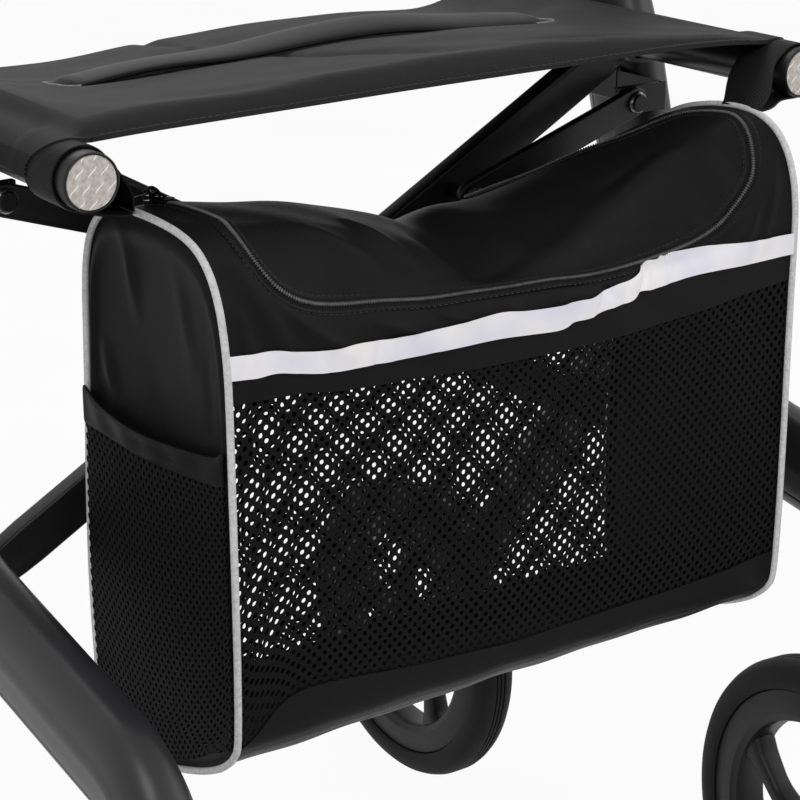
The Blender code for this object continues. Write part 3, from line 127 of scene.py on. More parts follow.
def object_coordinates(tree, scale=(1.0, 1.0, 1.0), source="Object"):
    """Object or UV coordinates through a mapping, so that a pattern is in metres."""
    coordinates = add_node(tree, "ShaderNodeTexCoord")
    mapping = add_node(
        tree, "ShaderNodeMapping", {"Vector": coordinates.outputs[source], "Scale": scale}
    )
    return mapping.outputs["Vector"]


def woven_height(tree, vector, spacing):
    """Plain weave: two crossed sine waves, each thread over and under the next."""
    parts = add_node(tree, "ShaderNodeSeparateXYZ", {"Vector": vector})
    turn = math.pi / spacing
    waves = []
    for axis in ("X", "Y"):
        angle = add_node(
            tree, "ShaderNodeMath", {0: parts.outputs[axis], 1: turn}, operation="MULTIPLY"
        )
        wave = add_node(tree, "ShaderNodeMath", {0: angle.outputs[0]}, operation="SINE")
        waves.append(wave.outputs[0])
    made = add_node(tree, "ShaderNodeMath", {0: waves[0], 1: waves[1]}, operation="MULTIPLY")
    return made.outputs[0]


def palette():
    return bpy.context.scene.rollator_colours


def sizes():
    return bpy.context.scene.rollator_sizes


MATERIALS = {}


def surface(make):
    """Keep one material for each function that makes one."""

    def ready():
        if make.__name__ not in MATERIALS:
            MATERIALS[make.__name__] = make()
        return MATERIALS[make.__name__]

    return ready


def clouded(tree, shader, colour, scale, detail, dark, light, low=0.3, high=0.7, **more):
    """Cloudy colour: noise leads from a darker to a lighter shade; gives the noise for a bump."""
    vector = object_coordinates(tree, source=more.get("source", "Object"))
    inputs = {"Vector": vector, "Scale": scale, "Detail": detail}
    cloud = add_node(tree, "ShaderNodeTexNoise", inputs | {"Roughness": more.get("roughness", 0.5)})
    tint(tree, shader, cloud.outputs["Fac"], shade(colour, dark), shade(colour, light), low, high)
    return cloud.outputs["Fac"]


def grained(tree, shader, scale, strength, distance):
    """Fine bumps of noise, such as orange peel or pores."""
    grain = add_node(
        tree, "ShaderNodeTexNoise", {"Vector": object_coordinates(tree), "Scale": scale, "Detail": 2.0}
    )
    bump(tree, shader, grain.outputs["Fac"], strength, distance)


def uneven_shine(tree, shader, factor, low, high):
    """Roughness that goes from low to high with a factor."""
    spread = add_node(tree, "ShaderNodeMapRange", {"Value": factor, "To Min": low, "To Max": high})
    tree.links.new(spread.outputs["Result"], shader.inputs["Roughness"])


@surface
def coated_carbon():
    """Carbon fibre laid up in a mould, under a satin clear coat: dark grey, soft long highlights."""
    made, tree, shader = new_surface(
        "satin clear-coated carbon fibre",
        palette().carbon,
        0.38,
        Coat_Weight=0.08,
        Coat_Roughness=0.25,
        Specular_IOR_Level=0.28,
    )
    clouded(tree, shader, palette().carbon, 28.0, 4.0, 0.86, 1.12, roughness=0.6)
    grained(tree, shader, 900.0, 0.12, 0.0003)
    return made


@surface
def coated_aluminium():
    """Powder-coated aluminium: near black, the fine orange peel of baked powder."""
    made, tree, shader = new_surface(
        "powder-coated aluminium", palette().metal, 0.40, Specular_IOR_Level=0.22
    )
    grained(tree, shader, 700.0, 0.25, 0.0004)
    clouded(tree, shader, palette().metal, 35.0, 5.0, 0.8, 1.25)
    return made


@surface
def anodised_tube():
    """Black anodised drawn aluminium tube: darker and smoother, faint lines along its length."""
    made, tree, shader = new_surface(
        "black anodised aluminium", shade(palette().metal, 1.4), 0.30, Metallic=0.85
    )
    stretched = object_coordinates(tree, (900.0, 900.0, 12.0))
    lines = add_node(tree, "ShaderNodeTexNoise", {"Vector": stretched, "Scale": 1.0, "Detail": 2.0})
    bump(tree, shader, lines.outputs["Fac"], 0.10, 0.0002)
    uneven_shine(tree, shader, lines.outputs["Fac"], 0.26, 0.36)
    return made


@surface
def moulded_nylon():
    """Glass-filled nylon moulded in an etched tool: matt black with a fine pebble."""
    made, tree, shader = new_surface(
        "moulded glass-filled nylon", palette().plastic, 0.45, Specular_IOR_Level=0.22
    )
    pebble = add_node(
        tree,
        "ShaderNodeTexVoronoi",
        {"Vector": object_coordinates(tree), "Scale": 1100.0},
        feature="SMOOTH_F1",
    )
    bump(tree, shader, pebble.outputs["Distance"], 0.30, 0.0003)
    clouded(tree, shader, palette().plastic, 40.0, 3.0, 0.85, 1.2)
    return made


@surface
def moulded_tyre():
    """Polyurethane rubber tyre, moulded: soft black, dusty where it rolls."""
    made, tree, shader = new_surface(
        "moulded polyurethane rubber", palette().rubber, 0.70, Specular_IOR_Level=0.2
    )
    clouded(tree, shader, palette().rubber, 55.0, 6.0, 1.0, 1.9, 0.45, 0.8, roughness=0.65)
    grained(tree, shader, 1500.0, 0.25, 0.0004)
    return made


def turned_steel(name, colour, roughness, metallic, scale, low, high):
    """Metal whose shine varies with fine turning marks."""
    made, tree, shader = new_surface(name, colour, roughness, Metallic=metallic)
    marks = add_node(
        tree, "ShaderNodeTexNoise", {"Vector": object_coordinates(tree), "Scale": scale, "Detail": 3.0}
    )
    uneven_shine(tree, shader, marks.outputs["Fac"], low, high)
    return made


@surface
def plated_steel():
    """Zinc-plated turned steel: mid grey metal."""
    return turned_steel("zinc-plated steel", palette().steel, 0.30, 1.0, 600.0, 0.22, 0.42)


@surface
def black_steel():
    """Black oxide steel of screws and bolts: glossy, near black."""
    return turned_steel("black oxide steel", linear("#1d1d1e"), 0.25, 0.9, 500.0, 0.18, 0.36)


def cloth(name, colour, spacing, strength, roughness, shades, sheen=0.0, low=0.0, high=1.0):
    """A woven cloth on the piece's own UV map, which is in metres along the threads."""
    made, tree, shader = new_surface(
        name, colour, roughness, Sheen_Weight=sheen, Sheen_Roughness=0.45, Specular_IOR_Level=0.06
    )
    shader.inputs["Sheen Tint"].default_value = (0.8, 0.8, 0.85, 1.0)
    vector = object_coordinates(tree, source="UV")
    weave = woven_height(tree, vector, spacing)
    uneven = add_node(
        tree,
        "ShaderNodeTexNoise",
        {"Vector": vector, "Scale": 260.0, "Detail": 4.0, "Roughness": 0.7},
    )
    both = add_node(
        tree,
        "ShaderNodeMath",
        {0: uneven.outputs["Fac"], 1: 0.6, 2: weave},
        operation="MULTIPLY_ADD",
    )
    bump(tree, shader, both.outputs[0], strength, spacing * 0.6)
    tint(tree, shader, both.outputs[0], shade(colour, shades[0]), shade(colour, shades[1]), low, high)
    return made


@surface
def bag_nylon():
    """Coated nylon pack cloth, plain woven: black, dull on its folds."""
    return cloth("coated nylon pack cloth", palette().nylon, 0.0005, 0.22, 0.42, (0.8, 1.35), low=0.1)


@surface
def woven_webbing():
    """Polypropylene webbing: black, ribbed by its heavy weft."""
    return cloth("polypropylene webbing", palette().webbing, 0.0011, 0.22, 0.50, (0.6, 1.7))


@surface
def zip_tape():
    """Knitted zip tape: black with a fine rib."""
    return cloth("knitted zip tape", palette().zip, 0.0008, 0.5, 0.62, (0.6, 1.8))


@surface
def oxford_cloth():
    """Polyester oxford of the seat: dark grey yarns in a fine weave, lighter where it lies flat."""
    return cloth(
        "polyester oxford cloth", palette().seat, 0.00045, 0.35, 0.60, (0.72, 1.5), sheen=0.02, high=1.1
    )


@surface
def sleeve_knit():
    """Knitted polyester of the sleeves' ends: coarse dark stitches that show as dots."""
    return cloth("knitted sleeve polyester", palette().knit, 0.0010, 0.9, 0.62, (0.45, 2.1), high=1.1)


@surface
def mesh_polyester():
    """Warp-knitted polyester netting: charcoal yarn round open holes."""
    made, tree, shader = new_surface(
        "knitted polyester netting", palette().netting, 0.62, Specular_IOR_Level=0.05
    )
    yarn = clouded(
        tree, shader, palette().netting, 900.0, 3.0, 0.55, 1.6, roughness=0.7, source="UV"
    )
    bump(tree, shader, yarn, 0.5, 0.0004)
    return made


@surface
def reflective_tape():
    """Glass-bead reflective tape: silver grey, drawn near white with painted reflection of the light
    its beads throw back, with a faint lilac cast and soft creases.
    """
    made, tree, shader = new_surface("glass-bead reflective tape", palette().tape, 0.42)
    vector = object_coordinates(tree, source="UV")
    cast = add_node(tree, "ShaderNodeTexNoise", {"Vector": vector, "Scale": 22.0, "Detail": 2.0})
    # Near-white shades: the tape's silver colour together with painted reflection of its glass beads'
    # glare.
    ramp = tint(tree, shader, cast.outputs["Fac"], linear("#dcd8ea"), linear("#efe9ea"), 0.35, 0.65)
    middle = ramp.color_ramp.elements.new(0.5)
    middle.color = (*linear("#e6e5ea"), 1.0)
    beads = add_node(tree, "ShaderNodeTexVoronoi", {"Vector": vector, "Scale": 2600.0})
    bump(tree, shader, beads.outputs["Distance"], 0.12, 0.0002)
    return made


@surface
def reflective_piping():
    """Reflective cloth sewn round a cord: light grey, slightly gritty, with needle puckers."""
    made, tree, shader = new_surface("reflective piping cloth", palette().piping, 0.55)
    grit = clouded(
        tree, shader, palette().piping, 420.0, 4.0, 0.72, 1.08, 0.3, 0.6, roughness=0.7
    )
    bump(tree, shader, grit, 0.25, 0.0004)
    return made


@surface
def coil_nylon():
    """Extruded nylon zip coil: dark grey teeth that catch the light one by one."""
    made, tree, shader = new_surface("nylon zip coil", palette().coil, 0.35, Specular_IOR_Level=0.3)
    clouded(tree, shader, palette().coil, 300.0, 2.0, 0.7, 1.3)
    return made


@surface
def satin_tube():
    """Powder-coated tube of the seat rails: dark grey, one long soft highlight."""
    made, tree, shader = new_surface(
        "satin powder-coated tube", palette().rail, 0.34, Specular_IOR_Level=0.3
    )
    grained(tree, shader, 800.0, 0.15, 0.0003)
    clouded(tree, shader, palette().rail, 30.0, 2.0, 0.9, 1.12)
    return made


CELL_WIDTH = 0.0066
CELL_HEIGHT = 0.0078


@surface
def prismatic_foil():
    """Prismatic reflective foil: pale warm cells in staggered rows with bright zigzag seams."""
    made, tree, shader = new_surface(
        "prismatic reflective foil", palette().foil, 0.30, Specular_IOR_Level=0.5
    )
    parts = add_node(tree, "ShaderNodeSeparateXYZ", {"Vector": object_coordinates(tree)})

    def calculate(operation, *values):
        inputs = dict(enumerate(values))
        return add_node(tree, "ShaderNodeMath", inputs, operation=operation).outputs[0]

    across = calculate("DIVIDE", parts.outputs["X"], CELL_WIDTH)
    up = calculate("DIVIDE", parts.outputs["Z"], CELL_HEIGHT)
    row = calculate("FLOOR", up)
    share = calculate("FRACT", up)
    wave = calculate("SINE", calculate("MULTIPLY", share, 2 * math.pi))
    bend = calculate("ADD", calculate("MULTIPLY", wave, 0.16), calculate("MULTIPLY", share, -0.5))
    staggered = calculate("ADD", across, calculate("MULTIPLY", row, 0.5))
    shifted = calculate("ADD", staggered, bend)
    from_seam = calculate("ABSOLUTE", calculate("SUBTRACT", calculate("FRACT", shifted), 0.5))
    width = calculate("MULTIPLY", calculate("SINE", calculate("MULTIPLY", share, math.pi)), 0.14)
    near_seam = calculate("SUBTRACT", calculate("ADD", width, from_seam), 0.53)
    bolt = calculate("MULTIPLY", near_seam, 12.0)
    bolt = calculate("MINIMUM", calculate("MAXIMUM", bolt, 0.0), 1.0)
    facet = add_node(
        tree, "ShaderNodeTexVoronoi", {"Vector": object_coordinates(tree), "Scale": 420.0}
    )
    tone = calculate(
        "MULTIPLY_ADD", facet.outputs["Distance"], 0.35, calculate("MULTIPLY", bolt, 0.75)
    )
    tint(tree, shader, tone, shade(palette().foil, 0.80), linear("#f6f2ea"), 0.0, 0.80)
    bump(tree, shader, tone, 0.4, 0.0003)
    return made


@surface
def ribbed_grip():
    """Moulded soft rubber of the hand grips: matt black, finely grained."""
    made, tree, shader = new_surface(
        "soft moulded rubber", palette().rubber, 0.66, Specular_IOR_Level=0.3
    )
    grained(tree, shader, 1200.0, 0.3, 0.0004)
    clouded(tree, shader, palette().rubber, 45.0, 2.0, 0.9, 1.5)
    return made


@surface
def sewing_thread():
    """Bonded polyester thread: black, a little glossy where it stands out of the cloth."""
    made, tree, shader = new_surface(
        "bonded polyester thread", palette().thread, 0.5, Specular_IOR_Level=0.3
    )
    clouded(tree, shader, palette().thread, 3000.0, 1.0, 0.7, 1.4)
    return made


@surface
def binding_tape():
    """Narrow woven tape that binds the seat's slots: mid grey, ribbed."""
    made, tree, shader = new_surface(
        "narrow woven binding", palette().binding, 0.6, Specular_IOR_Level=0.2
    )
    rib = clouded(tree, shader, palette().binding, 900.0, 2.0, 0.6, 1.3)
    bump(tree, shader, rib, 0.4, 0.0004)
    return made


@surface
def binding_cloth():
    """Pack cloth folded along the zip: black, crinkled by its stitches."""
    made, tree, shader = new_surface(
        "folded pack cloth", palette().nylon, 0.5, Specular_IOR_Level=0.08
    )
    crinkle = clouded(tree, shader, palette().nylon, 260.0, 4.0, 0.8, 1.5)
    bump(tree, shader, crinkle, 0.5, 0.0008)
    return made


# Shapes


def joined(*parts):
    """Join (points, faces) pairs into one; a face is a row of point numbers."""
    points, faces, start = [], [], 0
    for some_points, some_faces in parts:
        points.append(some_points)
        faces += [tuple(start + i for i in face) for face in some_faces]
        start += len(some_points)
    return np.concatenate(points), faces


def grid_faces(rows, columns, loop_rows=False, loop_columns=False):
    """Quads of a grid of points, row by row; a looped direction joins its last line to its first."""
    i = np.arange(rows if loop_rows else rows - 1)
    j = np.arange(columns if loop_columns else columns - 1)
    i, j = (a.ravel() for a in np.meshgrid(i, j, indexing="ij"))
    below, right = (i + 1) % rows, (j + 1) % columns
    quads = np.stack(
        [i * columns + j, below * columns + j, below * columns + right, i * columns + right], axis=1
    )
    return [tuple(q) for q in quads.tolist()]


def grid(points, loop_rows=False, loop_columns=False, caps=False):
    """Points (rows, columns, 3) with their quads; caps close the first and last rows of a loop."""
    rows, columns = points.shape[:2]
    faces = grid_faces(rows, columns, loop_rows, loop_columns)
    if caps:
        faces.append(tuple(range(columns)))
        faces.append(tuple((rows - 1) * columns + j for j in reversed(range(columns))))
    return points.reshape(-1, 3), faces


def make_piece(name, shape, finish, body, uv=None, replaces=(), smooth=40.0):
    """A mesh object at the origin with its material, riding on a body, standing for CAD nodes."""
    points, faces = shape
    mesh = bpy.data.meshes.new(name)
    mesh.from_pydata(np.asarray(points, float).tolist(), [], faces)
    if uv is not None:
        layer = mesh.uv_layers.new(name="cloth")
        corners = np.zeros(len(mesh.loops), int)
        mesh.loops.foreach_get("vertex_index", corners)
        layer.data.foreach_set("uv", np.asarray(uv, np.float32)[corners].ravel())
    work = bmesh.new()
    work.from_mesh(mesh)
    bmesh.ops.recalc_face_normals(work, faces=work.faces)
    work.to_mesh(mesh)
    work.free()
    mesh.materials.append(finish)
    mesh.shade_smooth()
    mesh.set_sharp_from_angle(angle=math.radians(smooth))
    piece = bpy.data.objects.new(name, mesh)
    bpy.context.scene.collection.objects.link(piece)
    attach(piece, body)
    if replaces:
        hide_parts(*replaces)
    return piece


def catmull(points, count, loop=False):
    """Points on a smooth curve through the given ones: a cubic through each span (Catmull-Rom)."""
    points = np.asarray(points, float)
    number = len(points)
    spans = number if loop else number - 1
    u = np.linspace(0, spans, count, endpoint=not loop)
    i = np.minimum(u.astype(int), spans - 1)
    t = (u - i).reshape(-1, *[1] * (points.ndim - 1))
    if loop:
        a, b, c, d = (points[(i + k) % number] for k in (-1, 0, 1, 2))
    else:
        a, b, c, d = (points[np.clip(i + k, 0, number - 1)] for k in (-1, 0, 1, 2))
    square, cube = 2 * a - 5 * b + 4 * c - d, 3 * b - a - 3 * c + d
    return 0.5 * (2 * b + (c - a) * t + square * t**2 + cube * t**3)


def unit(vectors):
    """The same directions with a length of one."""
    return vectors / np.maximum(np.linalg.norm(vectors, axis=-1, keepdims=True), 1e-12)


def carry(path, outward, section, loop=False):
    """A section (points, 2) or (stations, points, 2) carried along a path.

    The section's first axis lies along outward, the second along path direction x outward.
    """
    path = np.asarray(path, float)
    if loop:
        along = unit(np.roll(path, -1, axis=0) - np.roll(path, 1, axis=0))
    else:
        along = unit(np.gradient(path, axis=0))
    outward = np.broadcast_to(np.asarray(outward, float), path.shape)
    outward = unit(outward - along * np.sum(outward * along, axis=1, keepdims=True))
    across = np.cross(along, outward)
    section = np.broadcast_to(section, (len(path), *np.shape(section)[-2:]))
    return (
        path[:, None, :]
        + section[:, :, :1] * outward[:, None, :]
        + section[:, :, 1:] * across[:, None, :]
    )


def ring_section(radius, sides):
    """A circle in the plane of a section."""
    turn = np.linspace(0, 2 * np.pi, sides, endpoint=False)
    return np.stack([radius * np.cos(turn), radius * np.sin(turn)], axis=1)


def superellipse(half_a, half_b, sides, fullness=4.0):
    """Rounded rectangle: |a/half_a|^n + |b/half_b|^n = 1."""
    turn = np.linspace(0, 2 * np.pi, sides, endpoint=False)
    a = np.sign(np.cos(turn)) * np.abs(np.cos(turn)) ** (2 / fullness)
    b = np.sign(np.sin(turn)) * np.abs(np.sin(turn)) ** (2 / fullness)
    return np.stack([half_a * a, half_b * b], axis=1)


def changing(section, first, second):
    """A section of unit size whose two half sizes differ from station to station."""
    return section * np.stack([first, second], axis=1)[:, None, :]


def smooth(t):
    """0 to 1 with level ends."""
    t = np.clip(t, 0, 1)
    return t * t * (3 - 2 * t)


def distances(path):
    """Distance along a path to each of its points."""
    return np.concatenate([[0], np.cumsum(np.linalg.norm(np.diff(path, axis=0), axis=1))])


def line_bell(first, second, crease):
    """Bell about a straight line, height exp(-(distance / width)^2), and the share along the line.

    A crease is (first, second) of its start, the same of its end, its half width and its height.
    """
    start_a, start_b, end_a, end_b, width, height = crease
    run_a, run_b = end_a - start_a, end_b - start_b
    share = ((first - start_a) * run_a + (second - start_b) * run_b) / (run_a * run_a + run_b * run_b)
    share = np.clip(share, 0, 1)
    away = np.hypot(first - start_a - share * run_a, second - start_b - share * run_b)
    return height * np.exp(-((away / width) ** 2)), share


def softened(values, count):
    """Running mean over an odd count of values."""
    return np.convolve(np.pad(values, count // 2, mode="edge"), np.ones(count) / count, mode="valid")


def mirrored(profile):
    """A profile of (radius, height) and then its mirror image, from its last point to its first."""
    return profile + [(radius, -height) for radius, height in reversed(profile)]


def corners(node):
    """Lowest and highest corner of a CAD node at rest."""
    low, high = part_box(node)
    return np.array(low, float), np.array(high, float)


def middle(node):
    """Middle of a CAD node's box at rest."""
    low, high = corners(node)
    return (low + high) / 2


def rounded(outline, radius, steps=5, loop=True):
    """A flat outline with each corner replaced by a short quadratic curve."""
    outline = np.asarray(outline, float)
    t = np.linspace(0, 1, steps)[:, None]
    made = []
    for i, corner in enumerate(outline):
        if not loop and i in (0, len(outline) - 1):
            made.append(corner[None])
            continue
        before, after = outline[i - 1] - corner, outline[(i + 1) % len(outline)] - corner
        reach = min(radius, 0.45 * np.linalg.norm(before), 0.45 * np.linalg.norm(after))
        start, stop = corner + unit(before) * reach, corner + unit(after) * reach
        made.append((1 - t) ** 2 * start + 2 * t * (1 - t) * corner + t**2 * stop)
    return np.concatenate(made)


def arc(centre, radius, start, stop, count):
    """Points on a circle from one angle to another, in degrees."""
    turn = np.radians(np.linspace(start, stop, count))
    return np.stack([centre[0] + radius * np.cos(turn), centre[1] + radius * np.sin(turn)], axis=1)


def corner_arc(before, corner, after, radius, count):
    """Arc of a radius that rounds the corner of two straight runs and touches both."""
    before, corner, after = (np.asarray(p, float) for p in (before, corner, after))
    back, ahead = unit(before - corner), unit(after - corner)
    half = math.acos(float(np.clip(back @ ahead, -1, 1))) / 2
    centre = corner + unit(back + ahead) * radius / math.sin(half)
    first = corner + back * radius / math.tan(half) - centre
    last = corner + ahead * radius / math.tan(half) - centre
    span = math.pi - 2 * half
    t = np.linspace(0, 1, count)[:, None]
    return centre + (np.sin((1 - t) * span) * first + np.sin(t * span) * last) / math.sin(span)


def even(path, count):
    """The same path with its points at equal distances."""
    path = np.asarray(path, float)
    run = distances(path)
    at = np.linspace(0, run[-1], count)
    return np.stack([np.interp(at, run, path[:, k]) for k in range(path.shape[1])], axis=1)


def turned(profile, centre, axis, sides=64, ring=False):
    """A profile of (radius, height) turned about an axis: centre + height along + radius across."""
    profile = np.asarray(profile, float)
    axis = unit(np.asarray(axis, float))
    first = unit(np.cross(axis, (0.31, 0.17, 0.94)))
    second = np.cross(axis, first)
    turn = np.linspace(0, 2 * np.pi, sides, endpoint=False)
    spoke = np.cos(turn)[:, None] * first + np.sin(turn)[:, None] * second
    points = np.asarray(centre) + profile[:, None, :1] * spoke + profile[:, None, 1:] * axis
    return grid(points, loop_rows=ring, loop_columns=True, caps=not ring)


def plate(outline, thickness, edge, origin, first, second):
    """A flat outline given a thickness; its edges are quarter circles of radius edge.

    The outline lies in the plane of first and second, and runs counter-clockwise there.
    """
    outline = np.asarray(outline, float)
    along = unit(np.roll(outline, -1, axis=0) - np.roll(outline, 1, axis=0))
    inward = np.stack([-along[:, 1], along[:, 0]], axis=1)
    turn = np.linspace(0, np.pi / 2, 4)
    inset = edge * (1 - np.sin(turn))
    height = thickness / 2 - edge * (1 - np.cos(turn))
    inset, height = np.concatenate([inset, inset[::-1]]), np.concatenate([height, -height[::-1]])
    flat = outline + inward * inset[:, None, None]
    first, second = np.asarray(first, float), np.asarray(second, float)
    third = np.cross(first, second)
    points = (
        np.asarray(origin, float)
        + flat[..., :1] * first
        + flat[..., 1:] * second
        + height[:, None, None] * third
    )
    return grid(points, loop_columns=True, caps=True)


def tube(path, radius, sides=32, outward=(1, 0, 0)):
    """A round tube along a path, closed at both ends; radius may differ along it."""
    radius = np.broadcast_to(radius, len(path))[:, None, None]
    return grid(carry(path, outward, ring_section(1.0, sides) * radius), loop_columns=True, caps=True)


def in_plane(x, flat):
    """Points (y, z) put at one x."""
    flat = np.asarray(flat, float)
    return np.column_stack([np.full(len(flat), float(x)), flat])


def section_uv(section, run):
    """UV of a section carried along a path: metres across, and run along."""
    return np.stack(np.broadcast_arrays(section[None, :, 1], run[:, None]), axis=-1).reshape(-1, 2)


def band(path, width, thickness, width_way):
    """A strap: a thin rounded rectangle carried along a path, its width along width_way."""
    outward = np.cross(np.broadcast_to(width_way, path.shape), unit(np.gradient(path, axis=0)))
    section = superellipse(thickness / 2, width / 2, 20, 8.0)
    shape = grid(carry(path, outward, section), loop_columns=True, caps=True)
    return shape, section_uv(section, distances(path))


def bolt_head(centre, axis, radius, height, socket=0.45):
    """Domed screw head with a round socket: the profile falls into the socket at the middle."""
    dome = np.radians(np.linspace(18, 90, 10))
    hole = radius * socket
    rise = [(radius * math.sin(a), height * (0.15 + 0.85 * math.cos(a))) for a in dome]
    rise = [(r, h) for r, h in rise if r > hole]
    top = rise[0][1]
    floor = top - height * 0.55
    profile = [(hole * 0.2, floor), (hole * 0.92, floor), (hole, top - 0.0002)]
    profile += [(hole + 0.0002, top)] + rise[1:] + [(radius, 0.0), (radius * 0.5, -0.0002)]
    return turned(profile, centre, axis, 32)


# The bag's surface

BAG_HALF = 0.1825
# Outline of the bag's left end, (y, z), from the bottom of the front up, over the arch and down
LEFT_OUTLINE = [
    (-0.2165, 0.3155), (-0.2232, 0.3225), (-0.2272, 0.3330), (-0.2286, 0.3700), (-0.2286, 0.4200),
    (-0.2281, 0.4700), (-0.2277, 0.5050), (-0.2268, 0.5250), (-0.2246, 0.5410), (-0.2205, 0.5565),
    (-0.2130, 0.5700), (-0.2010, 0.5795), (-0.1830, 0.5842), (-0.1550, 0.5856), (-0.1270, 0.5840),
    (-0.1080, 0.5780), (-0.0950, 0.5660), (-0.0880, 0.5500), (-0.0850, 0.5300), (-0.0835, 0.5050),
    (-0.0815, 0.4700), (-0.0780, 0.4200), (-0.0760, 0.3700), (-0.0770, 0.3300), (-0.0790, 0.3030),
    (-0.0830, 0.2880), (-0.0930, 0.2790), (-0.1060, 0.2770), (-0.1300, 0.2800), (-0.1600, 0.2885),
    (-0.1880, 0.2990), (-0.2060, 0.3080),
]
# The same points on the right end, whose arch stands higher
RIGHT_OUTLINE = LEFT_OUTLINE[:6] + [
    (-0.2279, 0.5080), (-0.2278, 0.5330), (-0.2270, 0.5520), (-0.2243, 0.5680),
    (-0.2180, 0.5825), (-0.2070, 0.5935), (-0.1900, 0.5990), (-0.1650, 0.5985), (-0.1370, 0.5925),
    (-0.1130, 0.5817), (-0.0960, 0.5700), (-0.0880, 0.5530), (-0.0850, 0.5320), (-0.0835, 0.5060),
] + LEFT_OUTLINE[20:]
# The same points in the middle of the bag, where the empty lid sags
MIDDLE_OUTLINE = [
    (-0.2165, 0.3165), (-0.2235, 0.3232), (-0.2276, 0.3335), (-0.2290, 0.3700), (-0.2292, 0.4200),
    (-0.2286, 0.4700), (-0.2282, 0.5000), (-0.2282, 0.5180), (-0.2268, 0.5290), (-0.2222, 0.5352),
    (-0.2135, 0.5375), (-0.2010, 0.5395), (-0.1830, 0.5435), (-0.1550, 0.5505), (-0.1330, 0.5530),
    (-0.1130, 0.5480), (-0.0980, 0.5395), (-0.0890, 0.5265), (-0.0850, 0.5130), (-0.0835, 0.4970),
    (-0.0815, 0.4700), (-0.0775, 0.4200), (-0.0750, 0.3700), (-0.0765, 0.3300), (-0.0790, 0.3030),
    (-0.0830, 0.2885), (-0.0930, 0.2800), (-0.1060, 0.2780), (-0.1300, 0.2810), (-0.1600, 0.2895),
    (-0.1880, 0.3000), (-0.2060, 0.3090),
]
SAG_X = [-0.1825, -0.155, -0.125, -0.080, -0.040, -0.015, 0.010, 0.040, 0.085, 0.130, 0.160, 0.1825]
SAG_FRONT = [0.0, 0.16, 0.62, 0.90, 0.97, 1.0, 1.02, 1.06, 1.08, 0.92, 0.40, 0.0]
SAG_CREST = [0.0, 0.04, 0.15, 0.40, 0.73, 0.97, 0.87, 0.84, 0.60, 0.32, 0.10, 0.0]
OUTLINE_STEPS = 640


def outline_tables():
    """Fine copies of the outlines, with the distance q along the left one, in metres."""
    outlines = (LEFT_OUTLINE, MIDDLE_OUTLINE, RIGHT_OUTLINE)
    curves = [catmull(outline, OUTLINE_STEPS, loop=True) for outline in outlines]
    curves = [np.concatenate([c, c[:1]]) for c in curves]
    steps = np.linalg.norm(np.diff(curves[0], axis=0), axis=1)
    return (*curves, np.concatenate([[0.0], np.cumsum(steps)]))


LEFT_CURVE, MIDDLE_CURVE, RIGHT_CURVE, RUN = outline_tables()
LOOP_LENGTH = RUN[-1]
# Steps of the left outline at its crest and at its lowest point behind
CREST_STEP = np.argmax(LEFT_CURVE[:, 1])
FLOOR_STEP = CREST_STEP + np.argmin(LEFT_CURVE[CREST_STEP:, 1])
FRONT_RUN, BACK_RUN = slice(None, CREST_STEP), slice(CREST_STEP, FLOOR_STEP)
Q_CREST = float(RUN[CREST_STEP])


def q_at(height, back=False):
    """Distance along the left outline to a height on the front, or on the back."""
    if back:
        return float(np.interp(-height, -LEFT_CURVE[BACK_RUN, 1], RUN[BACK_RUN]))
    return float(np.interp(height, LEFT_CURVE[FRONT_RUN, 1], RUN[FRONT_RUN]))


def bag_sheet(x, q):
    """The bag's skin without folds: both outlines mixed by how far the skin sags at x."""
    x, q = np.broadcast_arrays(np.asarray(x, float), np.mod(np.asarray(q, float), LOOP_LENGTH))
    left, middle, right = (
        np.stack([np.interp(q, RUN, curve[:, k]) for k in (0, 1)], axis=-1)
        for curve in (LEFT_CURVE, MIDDLE_CURVE, RIGHT_CURVE)
    )
    ends = left + (right - left) * smooth(x / (2 * BAG_HALF) + 0.5)[..., None]
    fine = np.linspace(SAG_X[0], SAG_X[-1], 200)
    stations = np.linspace(0, len(SAG_X) - 1, 200)
    spread = np.interp(fine, catmull(np.array(SAG_X), 200), stations)
    front = np.interp(x, fine, np.interp(spread, stations, catmull(np.array(SAG_FRONT), 200)))
    crest = np.interp(x, fine, np.interp(spread, stations, catmull(np.array(SAG_CREST), 200)))
    toward = smooth((q - (Q_CREST - 0.075)) / 0.055)
    weight = (front + (crest - front) * toward)[..., None]
    place = ends + weight * (middle - ends)
    return np.stack([x, place[..., 0], place[..., 1]], axis=-1)


